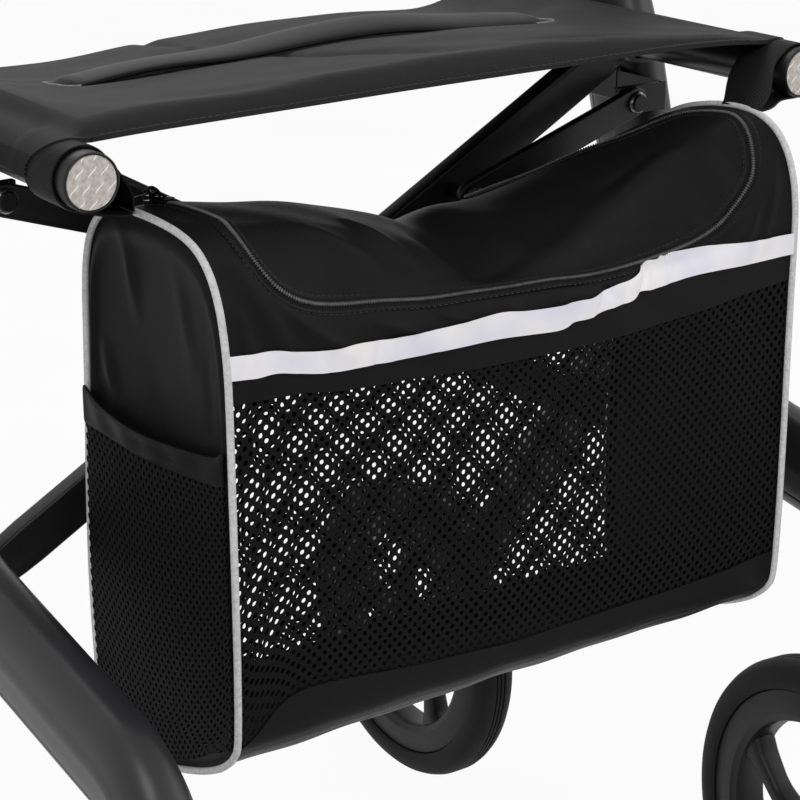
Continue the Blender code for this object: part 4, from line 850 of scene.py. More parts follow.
# Soft folds of the skin: both ends (x, q from the crest), half width, height
BAG_FOLDS = [
    # left front shoulder, running down from the zip corner to the piping
    (-0.168, -0.055, -0.150, -0.100, 0.007, 0.0022),
    (-0.150, -0.075, -0.115, -0.105, 0.005, 0.0020),
    (-0.172, -0.082, -0.168, -0.110, 0.004, 0.0012),
    # puckers just above the reflective strip
    (-0.095, -0.088, -0.075, -0.098, 0.003, 0.0012),
    (-0.060, -0.086, -0.045, -0.096, 0.003, 0.0010),
    (-0.020, -0.087, -0.010, -0.097, 0.003, 0.0010),
    (0.045, -0.086, 0.052, -0.100, 0.0035, -0.0014),
    (0.075, -0.085, 0.070, -0.100, 0.0035, -0.0012),
    # right front shoulder
    (0.165, -0.060, 0.145, -0.098, 0.005, 0.0018),
    (0.176, -0.055, 0.160, -0.100, 0.004, 0.0015),
    # the lid: a long ridge on the right and shorter folds on the left
    (0.015, -0.050, 0.125, -0.022, 0.009, 0.0040),
    (0.060, -0.045, 0.115, -0.058, 0.006, -0.0022),
    (0.085, -0.020, 0.125, -0.012, 0.005, -0.0020),
    (-0.110, -0.030, -0.085, -0.042, 0.006, 0.0028),
    (-0.075, -0.012, -0.058, -0.040, 0.005, 0.0022),
    (-0.055, -0.052, 0.010, -0.046, 0.006, -0.0016),
    (0.150, -0.030, 0.155, -0.052, 0.004, 0.0014),
    (-0.030, 0.000, -0.018, -0.045, 0.009, -0.0030),
    (-0.100, -0.055, 0.000, -0.050, 0.008, 0.0015),
    # bottom front corner
    (-0.165, -0.315, -0.180, -0.335, 0.006, 0.0030),
]
SEAM_RUN = 0.012


def bag_relief(x, q):
    """Height of the folds: each is a bell of its width about its line; plus slow waves."""
    x, q = np.broadcast_arrays(np.asarray(x, float), np.asarray(q, float))
    total = 0.0006 * np.sin(x * 95 + 1.3 * np.sin(q * 60)) * np.cos(q * 70 + x * 22)
    for crease in BAG_FOLDS:
        bell, t = line_bell(x, q - Q_CREST, crease)
        total = total + bell * (0.35 + 0.65 * np.sin(np.pi * (0.12 + 0.76 * t)))
    return total * smooth((BAG_HALF - np.abs(x)) / SEAM_RUN)


def front_q(x, height):
    """Distance along the outline at which the front of the skin has a height, for each x."""
    x, height = np.broadcast_arrays(np.asarray(x, float), np.asarray(height, float))
    q = np.linspace(q_at(0.32), Q_CREST - 0.03, 170)
    z = bag_sheet(x.reshape(-1, 1), q[None, :])[..., 2]
    above = np.argmax(z > height.reshape(-1, 1), axis=1)
    rows = np.arange(len(above))
    low, high = z[rows, above - 1], z[rows, above]
    share = (height.ravel() - low) / np.maximum(high - low, 1e-9)
    return (q[above - 1] + share * (q[1] - q[0])).reshape(x.shape)


def bag_normal(x, q, step=0.0008):
    """Outward direction: slope along x crossed with slope along q."""
    along_q = bag_sheet(x, np.asarray(q) + step) - bag_sheet(x, np.asarray(q) - step)
    near = np.clip(np.asarray(x, float), -BAG_HALF + step, BAG_HALF - step)
    along_x = bag_sheet(near + step, q) - bag_sheet(near - step, q)
    return unit(np.cross(along_x, along_q))


def bag_skin(x, q, lift=0.0):
    """A point of the bag's skin, folds included, raised by lift along the outward direction."""
    height = (bag_relief(x, q) + lift)[..., None]
    return bag_sheet(x, q) + bag_normal(x, q) * height


def sheet_of(outer, inner, uv):
    """A closed sheet between two grids of points, joined round their edges."""
    rows, columns = outer.shape[:2]
    count = rows * columns
    faces = grid_faces(rows, columns)
    faces += [tuple(count + i for i in reversed(face)) for face in faces]
    rim = np.concatenate([
        np.arange(columns),
        np.arange(1, rows) * columns + columns - 1,
        (rows - 1) * columns + np.arange(columns - 2, -1, -1),
        np.arange(rows - 2, 0, -1) * columns,
    ])
    after = np.roll(rim, -1)
    faces += [tuple(f) for f in np.stack([rim, after, after + count, rim + count], axis=1).tolist()]
    points = np.concatenate([outer.reshape(-1, 3), inner.reshape(-1, 3)])
    flat = uv.reshape(-1, 2)
    return (points, faces), np.concatenate([flat, flat])


def skin_panel(x, q, lift, wall):
    """A closed sheet of the bag's skin over a grid of x and q; its outer face is raised by lift."""
    return sheet_of(bag_skin(x, q, lift), bag_skin(x, q, lift - wall), np.stack([x, q], axis=-1))


HOLE_SIDES = 12


def netting(low_x, high_x, height, pitch, row, hole):
    """Flat lattice of netting: a honeycomb of six-sided cells, each with a round hole.

    Cell centres are at x = (i + j/2) pitch and q = j row; corners lie a sixth of a row above and
    below the lines between the rows. Gives the points, and each cell's corners and hole by number.
    """
    rows = max(2, int(round(height / row)))
    columns = max(2, int(round((high_x - low_x) / pitch)))
    row, pitch = height / rows, (high_x - low_x) / columns
    wide = 2 * columns + 2
    # corner points: line j between the rows, half-pitch steps i; every second one is raised
    i, j = np.meshgrid(np.arange(wide), np.arange(rows + 1), indexing="xy")
    raised = np.where((i + j) % 2 == 0, 1.0, -1.0) * row / 6
    corner_x = np.clip(low_x + (i - 0.5) * pitch / 2, low_x, high_x)
    corner_q = np.where(j == 0, 0.0, np.where(j == rows, height, j * row + raised))
    r, c = (a.ravel() for a in np.meshgrid(np.arange(rows), np.arange(columns), indexing="ij"))
    first = 2 * c + (r % 2)
    # corners of cell (r, c) in order: bottom three left to right, top three right to left
    ring = np.stack([
        r * wide + first, r * wide + first + 1, r * wide + first + 2,
        (r + 1) * wide + first + 2, (r + 1) * wide + first + 1, (r + 1) * wide + first,
    ], axis=1)
    flat_x, flat_q = corner_x.ravel(), corner_q.ravel()
    centre_x = flat_x[ring].mean(axis=1)
    centre_q = (r + 0.5) * row
    turn = np.radians(-150 + 30 * np.arange(HOLE_SIDES))
    half = np.minimum(hole / 2, pitch * 0.45)
    hole_x = centre_x[:, None] + half * np.cos(turn)
    hole_q = centre_q[:, None] + half * np.sin(turn) * 0.98
    hole_x = np.clip(hole_x, low_x + 0.0002, high_x - 0.0002)
    x = np.concatenate([flat_x, hole_x.ravel()])
    q = np.concatenate([flat_q, hole_q.ravel()])
    hole_id = len(flat_x) + np.arange(len(r))[:, None] * HOLE_SIDES + np.arange(HOLE_SIDES)
    return x, q, ring, hole_id


def netting_mesh(lattice, place, wall):
    """Pentagons between each cell's corners and its hole on both faces, and the hole's wall.

    place(x, q, lift) puts the flat lattice on its surface.
    """
    x, q, ring, hole_id = lattice
    count = len(x)
    front = place(x, q, 0.0)
    back = place(x, q, -wall)
    faces = []
    for k in range(6):
        a, b = ring[:, k], ring[:, (k + 1) % 6]
        h0, h1, h2 = (hole_id[:, (2 * k + step) % HOLE_SIDES] for step in range(3))
        face = np.stack([a, b, h2, h1, h0], axis=1)
        faces += face.tolist() + (face[:, ::-1] + count).tolist()
    for k in range(HOLE_SIDES):
        a, b = hole_id[:, k], hole_id[:, (k + 1) % HOLE_SIDES]
        faces += np.stack([a, b, b + count, a + count], axis=1).tolist()
    points = np.concatenate([front, back])
    uv = np.stack([x, q], axis=1)
    return (points, [tuple(f) for f in faces]), np.concatenate([uv, uv])


# Heights on the front, in the order left to right: x, top and bottom of the reflective strip
STRIP = np.array([
    (-0.1825, 0.5338, 0.5222), (-0.1675, 0.5328, 0.5211), (-0.1560, 0.5322, 0.5212),
    (-0.1440, 0.5296, 0.5189), (-0.1280, 0.5274, 0.5162), (-0.1080, 0.5273, 0.5156),
    (-0.0830, 0.5260, 0.5148), (-0.0480, 0.5263, 0.5146), (-0.0230, 0.5275, 0.5143),
    (-0.0040, 0.5254, 0.5130), (0.0160, 0.5243, 0.5117), (0.0270, 0.5250, 0.5145),
    (0.0370, 0.5250, 0.5149), (0.0440, 0.5266, 0.5172), (0.0540, 0.5284, 0.5181),
    (0.0640, 0.5292, 0.5190), (0.0710, 0.5308, 0.5225), (0.0780, 0.5334, 0.5228),
    (0.0890, 0.5341, 0.5236), (0.0950, 0.5357, 0.5243), (0.1110, 0.5363, 0.5252),
    (0.1450, 0.5374, 0.5255), (0.1825, 0.5376, 0.5258),
])
# x, top of the netting, top of the bottom band
NETTING = np.array([
    (-0.1825, 0.5135, 0.3260), (-0.1740, 0.5132, 0.3300), (-0.1640, 0.5129, 0.3400),
    (-0.1540, 0.5125, 0.3475), (-0.1400, 0.5120, 0.3510), (-0.1200, 0.5090, 0.3500),
    (-0.0850, 0.5070, 0.3455), (-0.0500, 0.5050, 0.3430), (0.0000, 0.5035, 0.3400),
    (0.0400, 0.5035, 0.3415), (0.0800, 0.5055, 0.3415), (0.1140, 0.5080, 0.3420),
    (0.1500, 0.5120, 0.3440), (0.1825, 0.5150, 0.3465),
])


def along(table, column, x):
    """A column of a table of heights, smooth between its rows, at each x."""
    fine = catmull(table, 40 * len(table))
    return np.interp(x, fine[:, 0], fine[:, column])


# The zip: (x, q from the crest) of its middle line, from the slider forward and round to the back
ZIP_LINE = [
    (-0.1635, 0.0345), (-0.1560, 0.0140), (-0.1530, -0.0117), (-0.1560, -0.0338),
    (-0.1562, -0.0518), (-0.1511, -0.0641), (-0.1417, -0.0690), (-0.1304, -0.0694),
    (-0.1131, -0.0684), (-0.0772, -0.0672), (-0.0166, -0.0705), (0.0492, -0.0715),
    (0.0930, -0.0662), (0.1225, -0.0640), (0.1438, -0.0625), (0.1591, -0.0586), (0.1661, -0.0479),
    (0.1705, -0.0315), (0.1708, -0.0108), (0.1650, 0.0085), (0.1540, 0.0185), (0.1356, 0.0280),
    (0.1100, 0.0378), (0.0800, 0.0456), (0.0400, 0.0485),
]
ZIP = catmull(ZIP_LINE, 900) + (0.0, Q_CREST)


CLOTH_WALL = 0.0008


def bag_upper():
    """Top of the bag: pack cloth from the netting in front, over the sagging lid, to the back."""
    x = np.linspace(-BAG_HALF, BAG_HALF, 241)
    start = front_q(x, along(NETTING, 1, x) - 0.004)
    stop = np.full_like(x, q_at(0.502, back=True))
    v = np.linspace(0, 1, 121)[:, None]
    q = start + (stop - start) * v
    shape, uv = skin_panel(np.broadcast_to(x, q.shape), q, 0.0, CLOTH_WALL)
    crumple(make_piece("bag_top_cloth", shape, bag_nylon(), "bag", uv, ["bag_lid"]))


def bag_lower():
    """Bottom band and floor: pack cloth from the netting behind, under the bag, to the front."""
    x = np.linspace(-BAG_HALF, BAG_HALF, 181)
    start = np.full_like(x, q_at(0.2915, back=True))
    stop = LOOP_LENGTH + front_q(x, along(NETTING, 2, x))
    v = np.linspace(0, 1, 91)[:, None]
    q = start + (stop - start) * v
    shape, uv = skin_panel(np.broadcast_to(x, q.shape), q, 0.0, CLOTH_WALL)
    crumple(make_piece(
        "bag_bottom_cloth", shape, bag_nylon(), "bag", uv, ["bag_body"]
    ))


NETTING_HALF = 0.1815
NETTING_HEIGHT = 0.166


def front_netting_place(x, v, lift):
    """Puts the front netting's lattice on the skin, between its two sewn edges."""
    start = front_q(x, along(NETTING, 2, x) - 0.004)
    stop = front_q(x, along(NETTING, 1, x))
    return bag_skin(x, start + (stop - start) * v / NETTING_HEIGHT, lift - 0.0009)


def back_netting_place(x, v, lift):
    """Puts the back netting's lattice on the skin, between two level edges."""
    start, stop = q_at(0.508, back=True), q_at(0.2875, back=True)
    return bag_skin(x, start + (stop - start) * v / NETTING_HEIGHT, lift - 0.0009)


def bag_netting():
    """Netting of the front and of the back of the bag; the back is knitted wider."""
    pitch, row, hole = sizes().netting_pitch, sizes().netting_row, sizes().netting_hole
    stretch = sizes().back_stretch
    for name, place, wide, tall, open_wide in (
        ("bag_front_netting", front_netting_place, 1.0, 1.0, 1.0),
        ("bag_back_netting", back_netting_place, stretch, stretch / 1.3, stretch * 1.12),
    ):
        lattice = netting(
            -NETTING_HALF, NETTING_HALF, NETTING_HEIGHT, pitch * wide, row * tall, hole * open_wide
        )
        shape, uv = netting_mesh(lattice, place, sizes().netting_wall)
        crumple(make_piece(name, shape, mesh_polyester(), "bag", uv, smooth=50))


# Sharp folds across the reflective strip: x, slant, half width, height
STRIP_CREASES = [
    (-0.128, -0.35, 0.0035, -0.0007), (-0.098, 0.30, 0.0022, -0.0010),
    (-0.090, 0.25, 0.0030, 0.0006), (-0.064, 0.20, 0.0030, -0.0006),
    (0.024, -0.10, 0.0022, -0.0011), (0.033, 0.35, 0.0030, 0.0008), (0.043, 0.45, 0.0022, -0.0012),
    (0.052, 0.30, 0.0030, 0.0008), (0.060, 0.35, 0.0025, -0.0009), (0.0745, 0.55, 0.0022, -0.0016),
    (0.080, 0.50, 0.0030, 0.0007), (0.0935, 0.45, 0.0022, -0.0011), (0.128, 0.10, 0.0040, -0.0004),
]
STRIP_WIDTH = 0.012


def strip_creases(x, height):
    """Height of the strip's sharp folds: bells about slanting lines."""
    total = np.zeros(np.broadcast(x, height).shape)
    for at, slant, width, depth in STRIP_CREASES:
        total = total + depth * np.exp(-(((x - at - slant * height) / width) ** 2))
    return total


def reflective_strip():
    """Reflective tape across the front, creased where the cloth above is bunched, and behind."""
    v = np.linspace(0, 1, 9)[:, None]
    x = np.linspace(-BAG_HALF + 0.0005, BAG_HALF - 0.0005, 420)
    low, high = front_q(x, along(STRIP, 2, x)), front_q(x, along(STRIP, 1, x))
    q = low + (high - low) * v
    wide = np.broadcast_to(x, q.shape)
    across = (v - 0.5) * STRIP_WIDTH + 0 * wide
    rise = 0.7 * strip_creases(wide, across) + 0.0018
    outer, inner = bag_skin(wide, q, rise), bag_skin(wide, q, rise - 0.0006)
    shape, uv = sheet_of(outer, inner, np.stack([wide, across], axis=-1))
    crumple(make_piece("reflective_strip", shape, reflective_tape(), "bag", uv))
    x = np.linspace(-BAG_HALF + 0.0005, BAG_HALF - 0.0005, 120)
    top, bottom = q_at(0.556, back=True), q_at(0.544, back=True)
    q = top + (bottom - top) * v + 0 * x
    shape, uv = skin_panel(np.broadcast_to(x, q.shape), q, 0.0007, 0.0006)
    crumple(make_piece("reflective_strip_back", shape, reflective_tape(), "bag", uv))


def bag_piping(side):
    """Reflective piping round an end of the bag: a cord carried along the end's outline."""
    q = np.linspace(0, LOOP_LENGTH, 400, endpoint=False)
    x = np.full_like(q, SIDES[side] * BAG_HALF)
    outward = bag_normal(x, q)
    radius = sizes().piping_radius
    path = bag_sheet(x, q) + outward * radius * 0.2
    cord = grid(carry(path, outward, ring_section(radius, 14), loop=True), True, True)
    crumple(make_piece(f"piping_{side}", cord, reflective_piping(), "bag"))


END_CENTRE = (-0.154, 0.44)


def bag_end(side):
    """End of the bag: a panel of pack cloth inside the piping, with a soft ridge round its edge."""
    sign = SIDES[side]
    q = np.linspace(0, LOOP_LENGTH, 240, endpoint=False)
    rim = bag_sheet(np.full_like(q, sign * (BAG_HALF - 0.0004)), q)
    centre = np.array([sign * BAG_HALF, *END_CENTRE])
    share = np.concatenate([np.linspace(0.02, 0.86, 30), np.linspace(0.875, 1.0, 14)])[:, None, None]
    points = centre + (rim - centre) * share
    relief = end_relief(points[..., 1], points[..., 2], share[..., 0])
    points[..., 0] = sign * (BAG_HALF - 0.0006 + relief)
    inner = points - np.array([sign * CLOTH_WALL, 0, 0])
    both = np.concatenate([points, inner[::-1]])
    uv = both[..., 1:].reshape(-1, 2)
    panel = grid(both, loop_columns=True, caps=True)
    crumple(make_piece(f"bag_end_{side}", panel, bag_nylon(), "bag", uv))


# Creases of the end panels: both ends (y, z), half width, height
END_FOLDS = [
    (-0.128, 0.572, -0.132, 0.535, 0.0050, 0.0022),
    (-0.178, 0.560, -0.190, 0.520, 0.0060, 0.0016),
    (-0.100, 0.505, -0.112, 0.478, 0.0055, 0.0024),
    (-0.205, 0.530, -0.210, 0.470, 0.0045, -0.0012),
    (-0.150, 0.500, -0.160, 0.460, 0.0100, -0.0016),
]


def end_relief(y, z, share):
    """Shape of an end panel: a ridge inside the seam, slow bulges and soft vertical creases."""
    inside = (1 - share) * 0.085
    ridge = 0.0022 * np.exp(-(((inside - 0.0065) / 0.0035) ** 2))
    seam = -0.0015 * np.exp(-((inside / 0.0025) ** 2))
    hollow = -0.0035 * np.exp(-(((y + 0.150) / 0.050) ** 2)) * np.exp(-(((z - 0.520) / 0.050) ** 2))
    total = ridge + seam + hollow
    for crease in END_FOLDS:
        bell, t = line_bell(y, z, crease)
        total = total + bell * np.sin(np.pi * (0.15 + 0.7 * t))
    return total * np.clip((1 - share) / 0.02, 0, 1)


# Frame, wheels, brace and handles

# Places of the carrying parts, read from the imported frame
RAIL_LOW, RAIL_HIGH = corners("seat_rail_right")
RAIL_X, _, RAIL_Z = middle("seat_rail_right")
RAIL_RADIUS = (RAIL_HIGH[2] - RAIL_LOW[2]) / 2
SHIFT = RAIL_HIGH[1] - 0.1420
FRAME_X = middle("side_frame_right")[0]
STEM_Y = middle("head_bearing_right")[1]
HEAD_BOTTOM = corners("head_bearing_right")[1][2] + 0.0003
WHEEL_RADIUS = corners("rear_tyre_right")[1][2] / 2
REAR_WHEEL_X, AXLE_Y, _ = middle("rear_tyre_right")
PIVOT_Z = 0.3605
LEAN = math.radians(16.0)
LEG_SLOPE = math.radians(9.7)
UP_AXIS = np.array([0.0, math.sin(LEAN), math.cos(LEAN)])
TUBE_TOP_Z = 0.720
HANDLE_RADIUS = 0.012
GRIP_RISE = math.radians(5.0)
GRIP_AXIS = np.array([0.0, math.cos(GRIP_RISE), math.sin(GRIP_RISE)])


def upright_y(z):
    """Middle of the leaning upright at a height."""
    return SHIFT + 0.0144 + (z - 0.565) * math.tan(LEAN)


def leg_z(y):
    """Middle of the sloping front leg."""
    return 0.3756 + (y - SHIFT + 0.112) * math.tan(LEG_SLOPE)


def main_tube_path():
    """Middle line (y, z) of the main tube: down the upright, round the knee, forward to the head."""
    slope, lean = math.tan(LEG_SLOPE), math.tan(LEAN)
    knee_z = (0.3756 + (0.0144 + 0.112 - 0.565 * lean) * slope) / (1 - slope * lean)
    top, knee = (upright_y(TUBE_TOP_Z), TUBE_TOP_Z), (upright_y(knee_z), knee_z)
    head, foot = (STEM_Y, leg_z(STEM_Y)), (STEM_Y, HEAD_BOTTOM)
    first = corner_arc(top, knee, head, 0.100, 30)
    second = corner_arc(knee, head, foot, 0.045, 20)
    return even(np.concatenate([[top], first, second, [foot]]), 170)


GROOVE_TURN = -30.0
RIDGE_TURN = 5.0
NO_GROOVE = 200.0
TUBE_FULLNESS = 2.4


def tube_section(half_width, half_depth, angles, groove):
    """Rounded rectangle |a/w|^n + |b/d|^n = 1 with a parting groove and a soft ridge on its sides."""
    cos, sin = np.cos(angles), np.sin(angles)
    a = np.sign(cos) * np.abs(cos) ** (2 / TUBE_FULLNESS)
    b = np.sign(sin) * np.abs(sin) ** (2 / TUBE_FULLNESS)
    side_turn = np.degrees(np.arctan2(sin, np.abs(cos)))
    change = -0.0010 * np.exp(-(((side_turn - groove) / 1.1) ** 2))
    change = change + 0.0009 * np.exp(-(((side_turn - RIDGE_TURN) / 5.0) ** 2))
    scale = 1 + change / np.hypot(half_width * a, half_depth * b)
    return np.stack([half_width * a * scale, half_depth * b * scale], axis=-1)


def section_angles():
    """Angles round a section, closer together at the groove."""
    fine = np.array([-2.4, -1.6, -1.0, -0.5, 0.0, 0.5, 1.0, 1.6, 2.4])
    turns = [np.linspace(-180, 180, 64, endpoint=False), GROOVE_TURN + fine, -180 - GROOVE_TURN + fine]
    return np.radians(np.unique(np.round(np.concatenate(turns), 2)))


def swept(path, x, half_width, half_depth, groove=GROOVE_TURN):
    """Sections of a tube along a (y, z) path; half_width is along x, half_depth across the path."""
    section = tube_section(half_width[:, None], half_depth[:, None], section_angles()[None, :], groove)
    return carry(in_plane(x, path), (1, 0, 0), section)


def main_tube(x):
    """Main tube: its section changes along the path, and the handle's bore goes down from its top."""
    path = main_tube_path()
    run = distances(path)
    knee = run[np.argmin(np.abs(path[:, 1] - 0.44))]
    head = run[-1] - 0.075
    stops = [0, 0.06, 0.13, knee, head, run[-1]]
    depth = np.interp(run, stops, [0.042, 0.044, 0.064, 0.062, 0.056, 0.046]) / 2
    width = np.interp(run, [0, head, run[-1]], [0.034, 0.034, 0.042]) / 2
    outer = swept(path, x, width, softened(depth, 9))
    top = outer[0].mean(axis=0)
    flat = np.cross(UP_AXIS, (1, 0, 0))
    turn = np.arctan2((outer[0] - top) @ flat, (outer[0] - top)[:, 0])
    ring = np.cos(turn)[:, None] * np.array([1.0, 0, 0]) + np.sin(turn)[:, None] * flat
    bore = top + ring * (HANDLE_RADIUS + 0.0003)
    inside = np.array([bore + UP_AXIS * rise for rise in (-0.20, -0.05, 0.0, 0.0006)])
    lip = top + (outer[0] - top) * 0.965 + UP_AXIS * 0.0006
    return grid(np.concatenate([inside, lip[None], outer]), loop_columns=True, caps=True)


def rear_leg(x):
    """Rear leg, curved down from the knee to the axle, and the boss round the axle's bolt."""
    t = np.linspace(0, 1, 60)
    start, waist = np.array([-0.016 + SHIFT, 0.432]), np.array([0.075 + SHIFT, 0.330])
    foot = np.array([AXLE_Y, WHEEL_RADIUS])
    path = np.outer((1 - t) ** 2, start) + np.outer(2 * t * (1 - t), waist) + np.outer(t**2, foot)
    leg = swept(path, x, (0.027 - 0.006 * t) / 2, (0.046 - 0.016 * t) / 2, NO_GROOVE)
    half, radius = 0.0110, 0.0165
    hub = [
        (0.0046, half), (0.011, half), (0.0118, half - 0.0008), (radius - 0.0012, half - 0.0008),
        (radius, half - 0.002), (radius, -half + 0.002), (radius - 0.0012, -half + 0.0008),
        (0.0046, -half),
    ]
    boss = turned(hub, (x, *foot), (1, 0, 0), 48, ring=True)
    return joined(grid(leg, loop_columns=True, caps=True), boss)


def carbon_frame(side):
    """Side frame moulded in carbon, and the two rivets near its top."""
    x = SIDES[side] * FRAME_X
    make_piece(
        f"carbon_frame_{side}", joined(main_tube(x), rear_leg(x)), coated_carbon(), f"{side}_frame",
        replaces=[f"side_frame_{side}"], smooth=32,
    )
    rivets = []
    for z in (0.664, 0.676):
        face = np.array([x - SIDES[side] * 0.017, upright_y(z) - 0.010, z])
        rivets.append(bolt_head(face, (-SIDES[side], 0, 0), 0.0042, 0.0022, 0.3))
    make_piece(f"frame_rivets_{side}", joined(*rivets), plated_steel(), f"{side}_frame")


SPOKES = 5
SPOKE_SWEEP = math.radians(24.0)


def wheel_shape():
    """Rim, five swept spokes and hub about the X axis, as (points, faces)."""
    inner, outer, half = 0.076, WHEEL_RADIUS - 0.0195, 0.0135
    rim_line = mirrored([
        (outer, half - 0.0008), (outer - 0.0012, half), (inner + 0.006, half),
        (inner + 0.004, half - 0.0015), (inner + 0.0015, half - 0.002), (inner, half - 0.005),
    ])
    hub_line = mirrored([
        (0.0046, 0.0150), (0.0085, 0.0150), (0.0090, 0.0138), (0.0130, 0.0138), (0.0136, 0.0150),
        (0.0178, 0.0150), (0.0200, 0.0130),
    ])
    parts = [
        turned(rim_line, (0, 0, 0), (1, 0, 0), 120, ring=True),
        turned(hub_line, (0, 0, 0), (1, 0, 0), 64, ring=True),
    ]
    t = np.linspace(0, 1, 36)
    radius = 0.012 + (inner + 0.004 - 0.012) * t
    sweep = SPOKE_SWEEP * np.sin(np.pi * t / 2) ** 2
    flare = 0.0060 * np.exp(-(((1 - t) / 0.11) ** 2)) + 0.0035 * np.exp(-(((t - 0.12) / 0.10) ** 2))
    wide = np.interp(t, [0, 0.5, 1], [0.0072, 0.0058, 0.0080]) + flare
    thick = np.interp(t, [0, 0.6, 1], [0.0095, 0.0078, 0.0100])
    section = changing(superellipse(1.0, 1.0, 28, 3.4), thick, wide)
    for k in range(SPOKES):
        angle = 2 * math.pi * k / SPOKES + sweep
        path = np.stack([np.zeros_like(t), radius * np.cos(angle), radius * np.sin(angle)], axis=1)
        parts.append(grid(carry(path, (1, 0, 0), section), loop_columns=True, caps=True))
    return joined(*parts)


def tyre_shape():
    """Tyre about the X axis: flat tread with three grooves, round shoulders, a step at the rim."""
    inner, top, half = WHEEL_RADIUS - 0.019, WHEEL_RADIUS, 0.016
    flank = [
        (inner, half - 0.002), (inner + 0.0015, half - 0.0005), (inner + 0.004, half),
        (inner + 0.008, half - 0.0002), (top - 0.0050, half - 0.0020), (top - 0.0024, half - 0.0046),
        (top - 0.0008, half - 0.0078), (top, half - 0.0104),
    ]
    grooves = []
    for at in (0.0034, 0.0, -0.0034):
        grooves += [(top, at + 0.0008), (top - 0.0011, at + 0.0004)]
        grooves += [(top - 0.0011, at - 0.0004), (top, at - 0.0008)]
    profile = flank + grooves + [(r, -h) for r, h in reversed(flank)]
    return turned(profile, (0, 0, 0), (1, 0, 0), 144, ring=True)


def placed(shape, centre, turn=0.0):
    """A shape about the origin, turned about Z and moved to its centre."""
    points, faces = shape
    cos, sin = math.cos(turn), math.sin(turn)
    matrix = np.array([[cos, -sin, 0], [sin, cos, 0], [0, 0, 1]])
    return points @ matrix.T + np.asarray(centre, float), faces


def caster_place(side):
    """Middle of a front wheel and its turn about Z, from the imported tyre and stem."""
    centre = middle(f"front_tyre_{side}")
    return centre, math.atan2(SIDES[side] * FRAME_X - centre[0], centre[1] - STEM_Y)


def wheels():
    """Four wheels and tyres; the front pair is turned as its casters stand."""
    wheel, tyre = wheel_shape(), tyre_shape()
    for side in SIDES:
        centre, turn = caster_place(side)
        rear = (SIDES[side] * REAR_WHEEL_X, AXLE_Y, WHEEL_RADIUS)
        for end, body, at, angle in (
            ("front", "caster_wheel", centre, turn), ("rear", "rear_wheel", rear, 0.0)
        ):
            make_piece(
                f"{end}_wheel_moulding_{side}", placed(wheel, at, angle), moulded_nylon(),
                f"{body}_{side}", replaces=[f"{end}_wheel_{side}"], smooth=35,
            )
            make_piece(
                f"{end}_tyre_moulding_{side}", placed(tyre, at, angle), moulded_tyre(),
                f"{body}_{side}", replaces=[f"{end}_tyre_{side}"], smooth=30,
            )


def caster_fork(side):
    """Fork of a caster: two pressed legs with round feet, a crown over the tyre and the stem."""
    centre, turn = caster_place(side)
    stem = np.array([SIDES[side] * FRAME_X, STEM_Y, 0.0])
    trail = float(np.hypot(*(centre - stem)[:2]))
    crown_top = corners(f"head_bearing_{side}")[0][2] - 0.0003
    outline = [(-0.018, crown_top - 0.001), (-0.006, crown_top - 0.060)]
    outline += arc((trail, WHEEL_RADIUS), 0.012, 210, 390, 24).tolist()
    outline += [(0.028, crown_top - 0.045), (0.018, crown_top - 0.001)]
    back, up = (0, 1, 0), (0, 0, 1)
    parts = [plate(outline, 0.006, 0.0014, (at * 0.021, 0, 0), back, up) for at in (-1, 1)]
    crown = rounded([(-0.0235, -0.022), (0.0235, -0.022), (0.0235, 0.022), (-0.0235, 0.022)], 0.006)
    parts.append(plate(crown, 0.012, 0.0025, (0, 0, crown_top - 0.006), (1, 0, 0), (0, 1, 0)))
    stem_line = [(0.0060, 0), (0.0060, 0.052), (0.0052, 0.0535)]
    parts.append(turned(stem_line, (0, 0, crown_top - 0.002), (0, 0, 1), 32))
    make_piece(
        f"fork_pressing_{side}", placed(joined(*parts), stem, turn), coated_aluminium(),
        f"caster_{side}", replaces=[f"caster_fork_{side}"], smooth=35,
    )


BRACE_ANGLE = math.atan2(RAIL_Z - PIVOT_Z, 2 * RAIL_X)
BRACE_FEET = {"front": "left", "rear": "right"}


